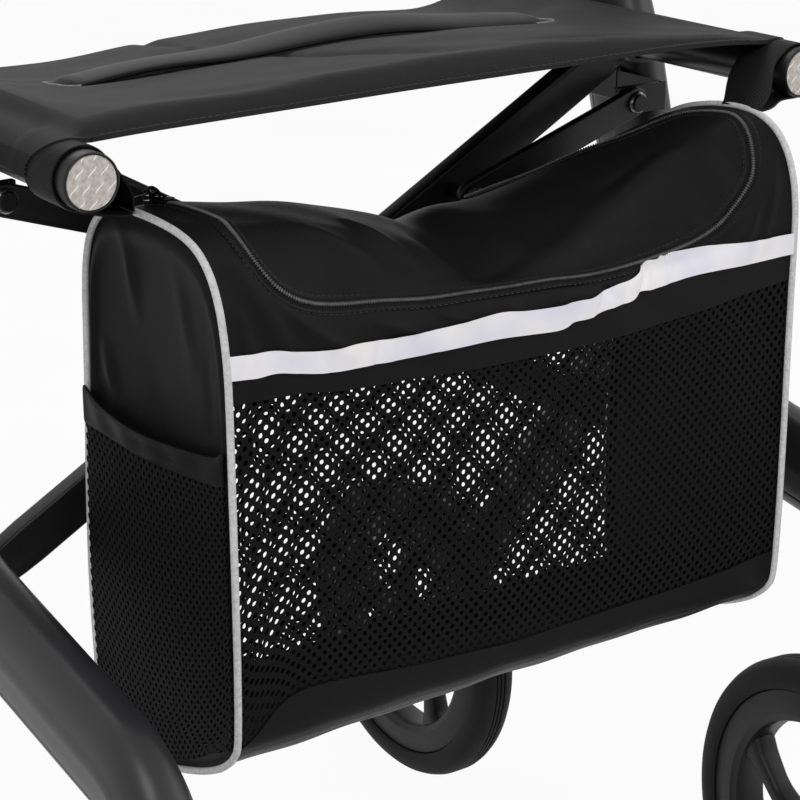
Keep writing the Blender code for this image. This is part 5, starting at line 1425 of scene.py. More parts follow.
def brace_bar(name):
    """Brace bar: a flat bar with rounded edges from its foot pivot to the saddle under a rail."""
    sign = SIDES[BRACE_FEET[name]]
    y = middle(f"brace_bar_{name}")[1]
    length = 2 * RAIL_X / math.cos(BRACE_ANGLE)
    along = np.array([-sign * math.cos(BRACE_ANGLE), 0, math.sin(BRACE_ANGLE)])
    across = np.array([sign * math.sin(BRACE_ANGLE), 0, math.cos(BRACE_ANGLE)])
    foot = np.array([sign * RAIL_X, y, PIVOT_Z])
    outline = arc((0, 0), 0.0100, 90, 270, 20).tolist()
    outline += [(0.020, -0.0119), (0.032, -0.0125), (length - 0.028, -0.0125)]
    outline += [(length - 0.010, -0.0100)]
    outline += arc((length, 0), 0.0132, 215, 145, 10).tolist()
    outline += [(length - 0.010, 0.0100), (length - 0.028, 0.0125), (0.032, 0.0125), (0.020, 0.0119)]
    bar = plate(outline, 0.0125, 0.0016, foot, along, across)
    rail = np.array([-sign * RAIL_X, y, RAIL_Z])
    ring = np.concatenate([arc((0, 0), 0.0165, 188, 352, 40), arc((0, 0), 0.0130, 352, 188, 40)])
    saddle = plate(ring, 0.030, 0.0007, rail, (1, 0, 0), (0, 0, 1))
    turn = np.radians(np.linspace(205, 300, 30))
    wave = 0.0002 * np.sin(np.arange(len(turn)) * 2.1)
    weld_x = rail[0] + sign * 0.0166 * np.cos(turn + math.pi)
    welds = []
    for way in (-1, 1):
        line = np.column_stack([weld_x, y + way * 0.0064 + wave, rail[2] + 0.0166 * np.sin(turn)])
        welds.append(tube(line, 0.0012, 10, (0, 1, 0)))
    make_piece(
        f"brace_flat_{name}", joined(bar, saddle, *welds), coated_aluminium(), f"brace_{name}",
        replaces=[f"brace_bar_{name}"], smooth=35,
    )


def fasteners():
    """Centre bolt of the brace, a domed head with a socket over a washer, and its nut."""
    x, _, z = middle("brace_bolt")
    front = corners("brace_bolt")[0][1]
    head = bolt_head((x, front + 0.005, z), (0, -1, 0), 0.0072, 0.0050)
    shank_line = [(0.005, 0.0), (0.005, 0.0370), (0.0045, 0.0375)]
    shank = turned(shank_line, (x, front + 0.0045, z), (0, 1, 0), 32)
    washer_line = [(0.0052, 0), (0.0092, 0), (0.0095, 0.0003), (0.0095, 0.0009), (0.0052, 0.0009)]
    washer = turned(washer_line, (x, front + 0.0048, z), (0, 1, 0), 48, ring=True)
    make_piece(
        "brace_bolt_turned", joined(head, shank, washer), black_steel(), "brace_front",
        replaces=["brace_bolt"],
    )
    low, high = corners("brace_nut")
    turn = np.arange(6) * math.pi / 3
    hexagon = rounded(np.column_stack([0.0088 * np.cos(turn), 0.0088 * np.sin(turn)]), 0.0008, 3)
    nut = plate(hexagon, high[1] - low[1], 0.0006, middle("brace_nut"), (1, 0, 0), (0, 0, 1))
    make_piece(
        "brace_nut_turned", nut, black_steel(), "brace_front",
        replaces=["brace_nut"],
    )


def stabiliser_link(side):
    """Pressed link with round ends from the frame's bracket to the brace bar, with both its bolts."""
    sign = SIDES[side]
    start = np.array([sign * 0.212, SHIFT - 0.0435, 0.578])
    reach = math.hypot(PIVOT_Z - RAIL_Z, 2 * RAIL_X) / 2 + 0.100
    foot_z = PIVOT_Z + reach * math.sin(BRACE_ANGLE)
    foot = np.array([sign * 0.100 * math.cos(BRACE_ANGLE), start[1], foot_z])
    run = float(np.linalg.norm(foot - start))
    along = (foot - start) / run
    across = np.cross((0, 1, 0), along)
    across = across if np.cross(along, across)[1] < 0 else -across
    outline = np.concatenate([arc((0, 0), 0.009, 90, 270, 22), arc((run, 0), 0.009, -90, 90, 22)])
    link = plate(outline, 0.006, 0.0013, start, along, across)
    face = np.array([0, -0.0031, 0])
    heads = [bolt_head(at + face, (0, -1, 0), 0.0068, 0.0042) for at in (start, foot)]
    back = corners(f"link_{side}")[1][1]
    pin = turned([(0.004, 0.0), (0.004, back - start[1])], foot, (0, 1, 0), 24)
    make_piece(
        f"link_pressing_{side}", joined(link, heads[1], pin), coated_aluminium(), f"link_{side}",
        replaces=[f"link_{side}"], smooth=35,
    )
    make_piece(f"link_screw_{side}", heads[0], plated_steel(), f"link_{side}", smooth=35)


def seat_rail(side):
    """Seat rail, its tapered front cap, and the prismatic reflector in the cap."""
    x = SIDES[side] * RAIL_X
    body = {"left": "brace_rear", "right": "brace_front"}[side]
    low, high = corners(f"seat_rail_{side}")
    length = high[1] - low[1]
    rail_line = [(RAIL_RADIUS - 0.0006, 0.0), (RAIL_RADIUS, 0.0008), (RAIL_RADIUS, length - 0.0010)]
    rail_line += [(RAIL_RADIUS - 0.0007, length - 0.0002), (0.0085, length), (0.0080, length - 0.0008)]
    make_piece(
        f"rail_tube_{side}", turned(rail_line, (x, low[1], RAIL_Z), (0, 1, 0), 80), satin_tube(), body,
        replaces=[f"seat_rail_{side}"], smooth=30,
    )
    front, back = (corner[1] for corner in corners(f"rail_cap_{side}"))
    depth = back - front + sizes().cap_overlap
    cap_line = [
        (0.0132, 0.0), (0.0138, 0.0004), (0.0140, 0.0012), (0.0142, depth * 0.5),
        (0.0144, depth - 0.0016), (0.0142, depth - 0.0005), (0.0137, depth),
        (0.0133, depth - 0.0004), (0.0131, depth - 0.0022), (0.0131, depth - 0.0030),
    ]
    make_piece(
        f"rail_cap_moulding_{side}", turned(cap_line, (x, front + depth, RAIL_Z), (0, -1, 0), 96),
        moulded_nylon(), body, replaces=[f"rail_cap_{side}"], smooth=35,
    )
    rear = corners(f"reflector_{side}")[1][1]
    disc_line = [
        (0.0130, 0.0), (0.0131, 0.0010), (0.0128, 0.0014), (0.0100, 0.0016), (0.0060, 0.0017),
        (0.0020, 0.00175),
    ]
    make_piece(
        f"reflector_foil_{side}", turned(disc_line, (x, rear, RAIL_Z), (0, -1, 0), 96),
        prismatic_foil(), body, replaces=[f"reflector_{side}"], smooth=35,
    )


def handle_points(x):
    """A handle's clamp at the top of the frame's tube, the corner of its bend and its grip's end."""
    top = np.array([x, upright_y(TUBE_TOP_Z), TUBE_TOP_Z])
    corner = np.array([x, upright_y(0.895), 0.895])
    return top, corner, corner + GRIP_AXIS * 0.170


def handle_tube(side):
    """Handle: a tube that comes out of the frame and bends back to the grip, and its clamp ring."""
    top, corner, end = handle_points(SIDES[side] * FRAME_X)
    start = top - UP_AXIS * 0.130
    bend = corner_arc(start[1:], corner[1:], end[1:], 0.050, 28)
    path = in_plane(top[0], np.concatenate([[start[1:]], bend, [end[1:]]]))
    path = np.concatenate([even(path[:2], 24), path[2:-2], even(path[-2:], 20)])
    make_piece(
        f"handle_bend_{side}", tube(path, HANDLE_RADIUS, 48), anodised_tube(), f"handle_{side}",
        replaces=[f"handle_tube_{side}"], smooth=40,
    )
    ring = [
        (0.0122, 0.0), (0.0165, 0.0), (0.0168, 0.0006), (0.0168, 0.0070), (0.0158, 0.0080),
        (0.0158, 0.0120), (0.0165, 0.0130), (0.0165, 0.0190), (0.0156, 0.0200), (0.0122, 0.0200),
    ]
    make_piece(
        f"clamp_moulding_{side}", turned(ring, top + UP_AXIS * 0.0003, UP_AXIS, 64, ring=True),
        moulded_nylon(), f"{side}_frame", replaces=[f"height_clamp_{side}"],
    )


def height_knob(side):
    """Knob with six flutes, r (1 - 0.16 cos(6 turn)^3) near its rim, and its screw."""
    sign = SIDES[side]
    top, _, _ = handle_points(sign * FRAME_X)
    face = top - UP_AXIS * 0.030 + np.array([sign * 0.0173, 0, 0])
    knob_line = [
        (0.0090, 0.0), (0.0120, 0.0015), (0.0142, 0.0040), (0.0150, 0.0070), (0.0150, 0.0105),
        (0.0138, 0.0126), (0.0110, 0.0131), (0.0060, 0.0127), (0.0030, 0.0126),
    ]
    points, faces = turned(knob_line, (0, 0, 0), (1, 0, 0), 96)
    turn = np.arctan2(points[:, 2], points[:, 1])
    radius = np.hypot(points[:, 1], points[:, 2])
    flute = 1 - 0.16 * np.clip(np.cos(6 * turn), 0, 1) ** 3 * np.clip((radius - 0.008) / 0.005, 0, 1)
    points = points * np.column_stack([np.ones_like(flute), flute, flute])
    knob = (points * (sign, 1, 1) + face, faces)
    inside = face - np.array([sign * 0.0050, 0, 0])
    screw = turned([(0.003, 0.0), (0.003, 0.0080)], inside, (sign, 0, 0), 24)
    make_piece(
        f"knob_moulding_{side}", joined(knob, screw), moulded_nylon(), f"knob_{side}",
        replaces=[f"height_knob_{side}"],
    )


def hand_grip(side):
    """Hand grip turned about the handle's end: a swelling line with fine ribs and a round end."""
    s = np.linspace(0, 0.1165, 260)
    stops = [0, 0.045, 0.081, 0.100, 0.111, 0.1165]
    swell = softened(np.interp(s, stops, [0.0165, 0.0165, 0.0150, 0.0164, 0.0175, 0.0140]), 17)
    rib = 0.0006 * np.clip(np.sin(2 * np.pi * s / 0.0046), -0.6, 0.6) * (s > 0.008) * (s < 0.098)
    rounding = np.minimum(1, np.sqrt(np.clip((0.1172 - s) / 0.0045, 0.02, 1)))
    profile = np.column_stack([(swell + rib) * rounding, s])
    profile = np.concatenate([[(0.0124, 0.0002), (0.0158, 0.0)], profile[2:]])
    make_piece(
        f"grip_rubber_{side}", turned(profile, grip_start(side), GRIP_AXIS, 64), ribbed_grip(),
        f"handle_{side}", replaces=[f"grip_{side}"], smooth=50,
    )


def grip_start(side):
    """Front end of a grip, on the handle's middle line."""
    return handle_points(SIDES[side] * FRAME_X)[2] - GRIP_AXIS * 0.112


def brake_lever(side):
    """Brake lever under the grip: a curved blade on an eye, with its pin."""
    down = np.array([0.0, GRIP_AXIS[2], -GRIP_AXIS[1]])
    pivot = grip_start(side) - GRIP_AXIS * (0.0006 + 0.011) + down * 0.027
    blade = [(0.001, 0.0), (0.018, -0.004), (0.036, -0.013)]
    blade += [(0.060, -0.022), (0.085, -0.027), (0.103, -0.024)]
    flat = catmull(blade, 60)
    line = pivot + flat[:, :1] * GRIP_AXIS - flat[:, 1:] * down
    t = np.linspace(0, 1, len(flat))
    deep = np.interp(t, [0, 0.2, 0.5, 0.93, 1], [0.0050, 0.0046, 0.0038, 0.0040, 0.0022])
    wide = np.interp(t, [0, 0.35, 0.8, 0.97, 1], [0.0038, 0.0040, 0.0042, 0.0040, 0.0026])
    section = changing(superellipse(1.0, 1.0, 28, 3.2), wide, deep)
    lever = grid(carry(line, (1, 0, 0), section), loop_columns=True, caps=True)
    eye = turned(mirrored([(0.0050, -0.0038), (0.0057, -0.0032)]), pivot, (1, 0, 0), 40)
    pin = turned(mirrored([(0.0018, -0.0080), (0.0020, -0.0076)]), pivot, (1, 0, 0), 24)
    make_piece(
        f"lever_moulding_{side}", joined(lever, eye, pin), moulded_nylon(), f"lever_{side}",
        replaces=[f"brake_lever_{side}"],
    )


# Seat, straps, zip and side pockets

SEAT_LOW, SEAT_HIGH = corners("seat_sling")
SEAT_FRONT, SEAT_BACK = SEAT_LOW[1], SEAT_HIGH[1]
CHANNEL_Y = middle("seat_pull_strap")[1]
SEAT_INSIDE = RAIL_X - RAIL_RADIUS
SLEEVE_TURN_RADIUS = 0.0150
HEM = 0.0024
# x, underside of the front hem, top of the pad's front roll
SEAT_EDGE = np.array([
    (-0.2264, 0.6278, 0.6302), (-0.2130, 0.6282, 0.6372), (-0.1900, 0.6290, 0.6398),
    (-0.1550, 0.6296, 0.6412), (-0.0980, 0.6304, 0.6434), (-0.0380, 0.6313, 0.6452),
    (0.0260, 0.6318, 0.6460), (0.0940, 0.6322, 0.6442), (0.1400, 0.6326, 0.6415),
    (0.1660, 0.6322, 0.6388), (0.1950, 0.6308, 0.6358), (0.2264, 0.6278, 0.6302),
])
SEAT_DROP = 0.032
# Creases of the pads: ends (x, y), half width, height
SEAT_FOLDS = [
    (-0.0400, 0.116, -0.0400, 0.053, 0.0060, -0.0026),
    (-0.0400, 0.053, -0.0485, 0.028, 0.0055, -0.0034),
    (-0.0485, 0.028, -0.0355, -0.009, 0.0060, -0.0036),
    (-0.0250, 0.070, -0.0180, 0.010, 0.0160, -0.0022),
    (-0.0560, 0.080, -0.0600, 0.020, 0.0140, 0.0014),
    (0.1150, 0.060, 0.1500, 0.020, 0.0140, -0.0016),
    (-0.0340, -0.040, -0.0340, -0.060, 0.0055, -0.0032),
    (-0.0340, -0.060, -0.0080, -0.100, 0.0070, -0.0034),
    (-0.0080, -0.100, 0.0160, -0.130, 0.0090, -0.0024),
    (0.0200, -0.070, 0.0900, -0.090, 0.0180, 0.0016),
    (0.0600, -0.125, 0.1300, -0.138, 0.0070, -0.0014),
    (0.0750, -0.147, 0.1000, -0.150, 0.0050, -0.0012),
    (-0.1500, -0.140, -0.0900, -0.150, 0.0100, -0.0010),
    (-0.1950, -0.090, -0.1700, -0.040, 0.0120, -0.0016),
    (0.1680, -0.060, 0.1900, -0.020, 0.0100, -0.0018),
    (0.1700, 0.000, 0.2000, 0.030, 0.0120, -0.0014),
]


def sleeve_radius(y):
    """Inside of the sleeve over a rail: wider in front, where the bag's strap lies under it."""
    return RAIL_RADIUS + 0.0004 + 0.0018 * smooth((-0.126 - y) / 0.012)


def seat_creases(x, y):
    """Sum of bells about straight lines, each highest at its middle."""
    total = 0.0
    for crease in SEAT_FOLDS:
        bell, t = line_bell(x, y, crease)
        total = total + bell * (0.5 + 0.5 * np.sin(np.pi * t))
    return total


def seat_heights(x, y):
    """Top and underside of the seat: hem, pads with round edges, channel, creases and rear fall."""
    u = np.clip(np.abs(x) / SEAT_INSIDE, 0, 1)
    depth = (y - SEAT_FRONT) / (SEAT_BACK - SEAT_FRONT)
    fall = SEAT_DROP * depth * (1 - u**8) * (1 - 0.24 * smooth((x + 0.12) / 0.22))
    low = along(SEAT_EDGE, 1, x)
    pad = along(SEAT_EDGE, 2, x) - low - HEM
    front = np.clip((y - SEAT_FRONT - 0.0030) / 0.0110, 0, 1)
    back = np.clip((SEAT_BACK - y - 0.0030) / 0.0110, 0, 1)
    round_edge = np.sqrt(1 - (1 - front) ** 2) * np.sqrt(1 - (1 - back) ** 2)
    channel = 0.0062 * np.exp(-(((y - CHANNEL_Y) / 0.0125) ** 2))
    channel = channel * (1 - smooth((np.abs(x) - 0.150) / 0.016))
    inside = smooth((SEAT_INSIDE - np.abs(x)) / 0.02) * smooth(front * 1.2) * smooth(back * 1.2)
    wave = 0.0005 * np.sin(x * 61 + 2 * np.sin(y * 43)) * np.cos(y * 71 + x * 13)
    relief = (seat_creases(x, y) + wave) * inside
    at_rail = smooth((np.abs(x) - SEAT_INSIDE) / RAIL_RADIUS)
    top = low + HEM + pad * round_edge - fall - channel * inside + relief
    under = low - fall - 0.0012 * inside
    top = top + (RAIL_Z + sleeve_radius(y) + 0.0022 - top) * at_rail
    under = under + (RAIL_Z + sleeve_radius(y) - under) * at_rail
    return top, under


def seat_points(s, y):
    """Outer and inner faces of the sling; past the rail's middle the cloth turns round the rail."""
    x = np.clip(s, -RAIL_X, RAIL_X)
    past = np.maximum(np.abs(s) - RAIL_X, 0)
    y = SEAT_BACK - (SEAT_BACK - y) * (1 - 0.046 * smooth(past / 0.0235))
    top, under = seat_heights(x, y)
    radius = sleeve_radius(y)
    turn = past / SLEEVE_TURN_RADIUS
    faces = []
    for height, thick in ((top, 0.0022), (under, 0.0)):
        reach = radius + thick
        px = x + np.sign(s) * reach * np.sin(turn)
        pz = np.where(past > 0, RAIL_Z + reach * np.cos(turn), height)
        faces.append(np.stack([px, np.broadcast_to(y, px.shape), pz], axis=-1))
    return faces


def seat_rows():
    """Depths for the seat's grid, closer together at both hems and in the channel."""
    fine = np.linspace(0, 0.016, 22)
    front = SEAT_FRONT + fine
    back = SEAT_BACK - fine[::-1]
    middle = np.linspace(front[-1], back[0], 120)[1:-1]
    return np.concatenate([front, middle, back])


def seat_sheet(low, high, columns):
    """Closed sheet of the seat between two distances across it."""
    s, y = np.meshgrid(np.linspace(low, high, columns), seat_rows())
    outer, inner = seat_points(s, y)
    return sheet_of(outer, inner, np.stack([s, y], axis=-1))


def gather(piece):
    """Give a piece of the seat its own copy of its mesh."""
    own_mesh(piece)
    return piece


def seat():
    """Padded sling between the rails, its sleeves over both rails, bound slots and stitched hems."""
    shape, uv = seat_sheet(-SEAT_INSIDE - 0.0005, SEAT_INSIDE + 0.0005, 300)
    pad = gather(make_piece(
        "seat_padded_sling", shape, oxford_cloth(), "seat", uv, ["seat_sling"],
        smooth=50,
    ))
    seat_sleeves()
    seat_thread()
    slot_binding()
    pull_strap()


def seat_sleeves():
    """Ends of the sling that wrap the rails: pad cloth over the top, knitted cloth down the outside."""
    edge = RAIL_X + math.radians(62) * SLEEVE_TURN_RADIUS
    end = RAIL_X + math.radians(98) * SLEEVE_TURN_RADIUS
    for side, body in (("left", "left_webbing"), ("right", "seat")):
        for name, start, stop, finish in (
            ("seat_edge", SEAT_INSIDE, edge, oxford_cloth()),
            ("seat_sleeve", edge - 0.001, end, sleeve_knit()),
        ):
            low, high = sorted((SIDES[side] * start, SIDES[side] * stop))
            shape, uv = seat_sheet(low, high, 28)
            make_piece(f"{name}_{side}", shape, finish, body, uv, smooth=60)


def seat_thread():
    """Two rows of stitches along the front hem and two along the back one."""
    x = np.linspace(-SEAT_INSIDE + 0.002, SEAT_INSIDE - 0.002, 500)
    rows = []
    for depth in (0.0008, 0.0024):
        for y in (SEAT_FRONT + depth, SEAT_BACK - depth):
            top, _ = seat_heights(x, np.full_like(x, y))
            line = np.column_stack([x, np.full_like(x, y), top + 0.00015])
            rows.append(stitch_row(line, (0, 0, 1)))
    gather(make_piece(
        "seat_hem_thread", joined(*rows), sewing_thread(), "seat", smooth=60
    ))


def slot_binding():
    """Tape round three sides of each slot that the pull strap goes through."""
    plan = [(0.1480, -0.0165), (0.1640, -0.0160), (0.1640, 0.0160), (0.1480, 0.0165)]
    plan = even(rounded(plan, 0.006, 8, loop=False), 60)
    bindings = []
    for sign in (-1, 1):
        x, y = sign * plan[:, 0], CHANNEL_Y + plan[:, 1]
        top, _ = seat_heights(x, y)
        bindings.append(tube(np.column_stack([x, y, top + 0.0002]), 0.0009, 10, (0, 0, 1)))
    gather(make_piece(
        "seat_slot_binding", joined(*bindings), binding_tape(), "seat", smooth=60
    ))


PULL_HALF_LENGTH = 0.1625
PULL_HALF_WIDTH = 0.0180


def pull_strap():
    """Cloth strap along the channel: up through one slot, over an arch and down through the other."""
    x = np.linspace(-PULL_HALF_LENGTH, PULL_HALF_LENGTH, 160)
    middle_y = np.full_like(x, CHANNEL_Y)
    top, under = seat_heights(x, middle_y)
    end = smooth((PULL_HALF_LENGTH - np.abs(x)) / 0.010)
    arch = 0.0040 + 0.0055 * (1 - (x / PULL_HALF_LENGTH) ** 4) + 0.0012 * np.sin(x * 38 + 0.6)
    z = under - 0.001 + (top + arch - under + 0.001) * end
    flat = superellipse(0.0023, PULL_HALF_WIDTH, 36, 3.2)
    crown = 0.0014 * (1 - (flat[:, 1] / PULL_HALF_WIDTH) ** 2)
    high, wide = (flat[:, 0] + crown)[None, :], flat[None, :, 1]
    tilt = (0.10 * np.sin(x * 14 + 0.4) * end)[:, None]
    cos, sin = np.cos(tilt), np.sin(tilt)
    section = np.stack([high * cos - wide * sin, high * sin + wide * cos], axis=-1)
    points = carry(np.column_stack([x, middle_y, z]), (0, 0, 1), section)
    gather(make_piece(
        "seat_strap_cloth", grid(points, loop_columns=True, caps=True), bag_nylon(), "seat",
        section_uv(flat, x), ["seat_pull_strap"], smooth=50,
    ))


def stitch_row(line, up, pitch=0.0042, length=0.0030, radius=0.00032):
    """A row of stitches along a line: short threads, thin at both ends, that dip into the cloth."""
    run = distances(line)
    at = np.arange(pitch, run[-1] - pitch, pitch)
    centre = np.stack([np.interp(at, run, line[:, k]) for k in range(3)], axis=1)
    ahead = np.stack([np.interp(at + 0.0005, run, line[:, k]) for k in range(3)], axis=1)
    along_line = unit(ahead - centre)
    up = unit(np.broadcast_to(np.asarray(up, float), centre.shape))
    side = np.cross(along_line, up)
    step = np.array([-0.5, -0.38, 0.0, 0.38, 0.5])
    wide = np.array([0.25, 0.85, 1.0, 0.85, 0.25]) * radius
    lift = np.array([-0.6, 0.1, 0.45, 0.1, -0.6]) * radius
    turn = np.linspace(0, 2 * np.pi, 6, endpoint=False)
    points = (
        centre[:, None, None, :]
        + (step * length)[None, :, None, None] * along_line[:, None, None, :]
        + (lift[:, None] + wide[:, None] * np.sin(turn))[None, :, :, None] * up[:, None, None, :]
        + (wide[:, None] * np.cos(turn))[None, :, :, None] * side[:, None, None, :]
    )
    one = np.array(grid_faces(5, 6, loop_columns=True))
    starts = (np.arange(len(at)) * 30)[:, None, None]
    faces = [tuple(f) for f in (one[None] + starts).reshape(-1, 4).tolist()]
    caps = np.array([range(6), range(29, 23, -1)])
    faces += [tuple(f) for f in (caps[None] + starts).reshape(-1, 6).tolist()]
    return points.reshape(-1, 3), faces


def crumple(piece):
    """Give a piece of the bag its own copy of its mesh."""
    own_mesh(piece)
    return piece


WEBBING_WIDTH = 0.0290
WEBBING_THICKNESS = 0.0015
# Where each strap crosses its rail and the arch of the bag's end
WEBBING_RAIL_Y = {"left": -0.1600, "right": -0.1640}
WEBBING_ARCH_Y = {"left": -0.1245, "right": -0.1815}


def strap_loop(sign, rail_y, arch):
    """A strap round the rail that meets itself at the bag's arch: two tangents and an arc."""
    centre, apex = np.array([sign * RAIL_X, RAIL_Z]), arch[[0, 2]]
    radius = RAIL_RADIUS + 0.0028
    away = apex - centre
    distance = float(np.hypot(*away))
    lean = math.degrees(math.acos(radius / distance))
    base = math.degrees(math.atan2(away[1], away[0]))
    ring = arc(centre, radius, base + lean, base + 360 - lean, 60)
    t = np.linspace(0, 1, 30)[:, None]
    rising, falling = apex + (ring[0] - apex) * t[:-1], ring[-1] + (apex - ring[-1]) * t[1:]
    flat = np.concatenate([rising, ring, falling])
    share = smooth((np.hypot(*(flat - centre).T) - radius) / (distance - radius))
    path = np.column_stack([flat[:, 0], rail_y + (arch[1] - rail_y) * share, flat[:, 1]])
    return band(even(path, 150), WEBBING_WIDTH, WEBBING_THICKNESS, (0, 1, 0))


def webbing(side):
    """Strap that hangs the bag from a rail, at the arch of the bag's end."""
    sign = SIDES[side]
    body = {"left": "left_webbing", "right": "bag"}[side]
    y = WEBBING_ARCH_Y[side]
    z = bag_sheet(sign * BAG_HALF, q_over(sign * BAG_HALF, y))[2] + 0.0006
    shape, uv = strap_loop(sign, WEBBING_RAIL_Y[side], np.array([sign * (BAG_HALF - 0.001), y, z]))
    make_piece(
        f"strap_front_{side}", shape, woven_webbing(), body, uv, [f"front_webbing_{side}"],
        smooth=50,
    )


def q_over(x, y):
    """Distance along the outline at which the top of the skin passes over y, at x."""
    q = np.linspace(Q_CREST - 0.09, Q_CREST + 0.07, 400)
    place = bag_sheet(np.full_like(q, x), q)
    return float(np.interp(y, place[:, 1], q))


def zip_frame(offset=0.0, lift=0.0, count=900):
    """The zip's line on the skin, moved sideways and raised, with the outward direction there."""
    line = even(ZIP, count)
    x, q = line[:, 0], line[:, 1]
    outward = bag_normal(x, q)
    path = bag_skin(x, q)
    across = np.cross(unit(np.gradient(path, axis=0)), outward)
    return path + across * offset + outward * lift, outward


def bag_zip():
    """Zip round the lid: knitted tape, coil, the folded edges of the cloth beside it, and slider."""
    path, outward = zip_frame(lift=0.0006)
    flat = superellipse(0.0003, 0.0034, 12, 6.0)
    tape = grid(carry(path, outward, flat), loop_columns=True, caps=True)
    uv = section_uv(flat, np.linspace(0, 1, len(path)))
    crumple(make_piece("zip_tape_sewn", tape, zip_tape(), "bag", uv))
    path, outward = zip_frame(lift=0.0013, count=3400)
    tooth = 0.25 + 0.75 * np.sin(np.pi * distances(path) / sizes().tooth_pitch) ** 2
    section = ring_section(1.0, 12) * (0.0009, 0.0014) * tooth[:, None, None]
    coil = grid(carry(path, outward, section), loop_columns=True, caps=True)
    crumple(make_piece("zip_coil", coil, coil_nylon(), "bag", smooth=70))
    lips, threads = [], []
    for way in (-1, 1):
        path, outward = zip_frame(way * 0.0036, 0.0004)
        lip = superellipse(0.0004, 0.0013, 14, 2.6)
        lips.append(grid(carry(path, outward, lip), loop_columns=True, caps=True))
        path, outward = zip_frame(way * 0.0052, 0.0002, 1200)
        threads.append(stitch_row(path, (0, -0.3, 1), 0.0034, 0.0024, 0.00022))
    crumple(make_piece("zip_cloth_folds", joined(*lips), binding_cloth(), "bag"))
    crumple(make_piece(
        "zip_thread", joined(*threads), sewing_thread(), "bag", smooth=60
    ))
    zip_slider()


SLIDER_STEP = 8


def zip_slider():
    """Slider: two plates over and under the coil, a hoop, and the pull's ring and leaf."""
    path, outward = zip_frame(lift=0.0018)
    at, up = path[SLIDER_STEP], outward[SLIDER_STEP]
    ahead = unit(path[SLIDER_STEP + 10] - at)
    side = np.cross(ahead, up)
    body = rounded([(-0.0085, -0.0030), (0.0085, -0.0044), (0.0085, 0.0044), (-0.0085, 0.0030)], 0.0026)
    parts = [
        plate(body, 0.0014, 0.0005, at + up * 0.0012, ahead, side),
        plate(body, 0.0012, 0.0004, at - up * 0.0012, ahead, side),
    ]
    rise = 0.0019 + 0.0016 * np.sin(np.linspace(0, np.pi, 24))[:, None]
    hoop = at + ahead * np.linspace(-0.0052, 0.0052, 24)[:, None] + up * rise
    parts.append(tube(hoop, 0.0007, 12, side))
    turn = np.linspace(0, 2 * np.pi, 48, endpoint=False)[:, None]
    ring = at - ahead * 0.0020 + up * 0.0040
    ring = ring + 0.0032 * (ahead * np.cos(turn) + (up * 0.80 + side * 0.6) * np.sin(turn))
    parts.append(grid(carry(ring, side, ring_section(0.0007, 10), loop=True), True, True))
    hang = unit(-ahead * 0.95 - up * 0.30)
    leaf = rounded([(0.0, -0.0022), (0.0170, -0.0030), (0.0170, 0.0030), (0.0, 0.0022)], 0.0018)
    leaf_top = at - ahead * 0.0050 + up * 0.0042
    parts.append(plate(leaf, 0.0012, 0.0005, leaf_top, hang, unit(np.cross(up, hang))))
    crumple(make_piece(
        "zip_slider_cast", joined(*parts), black_steel(), "bag",
        replaces=["zip_slider"],
    ))


# Left end of the bag: y, top and underside of the side pocket's hem
POCKET = np.array([
    (-0.2240, 0.4860, 0.4700), (-0.2130, 0.4809, 0.4672), (-0.1486, 0.4741, 0.4603),
    (-0.1060, 0.4751, 0.4604), (-0.0844, 0.4799, 0.4607), (-0.0780, 0.4815, 0.4620),
])
POCKET_WIDTH = 0.145
POCKET_HEIGHT = 0.176


def pocket_edges(z):
    """Front and back of the end's outline at a height, drawn in to the seam."""
    front, back = LEFT_CURVE[FRONT_RUN], LEFT_CURVE[BACK_RUN][::-1]
    front_y, back_y = (np.interp(z, edge[:, 1], edge[:, 0]) for edge in (front, back))
    return front_y + 0.0022, back_y - 0.0022


def pocket_floor(y):
    """Height of the end's lower edge at each y."""
    line = np.concatenate([LEFT_CURVE[FLOOR_STEP:], LEFT_CURVE[:20]])
    order = np.argsort(line[:, 0])
    return np.interp(y, line[order, 0], line[order, 1])


def pocket_place(sign):
    """Maps pocket coordinates (a across from the front, v up from the floor) onto the end."""

    def place(a, v, lift):
        share, rise = a / POCKET_WIDTH, v / POCKET_HEIGHT
        y = -0.2262 + 0.1478 * share
        floor = pocket_floor(y) + 0.003
        z = floor + (along(POCKET, 2, y) + 0.002 - floor) * rise
        front, back = pocket_edges(z)
        y = front + (back - front) * share
        swell = np.sin(np.pi * np.clip(share, 0, 1)) * np.sin(np.pi * np.clip(rise * 0.9 + 0.08, 0, 1))
        out = 0.0014 + 0.0040 * swell + 0.0014 * rise
        return np.stack([sign * (BAG_HALF + out + lift), y, z], axis=-1)

    return place


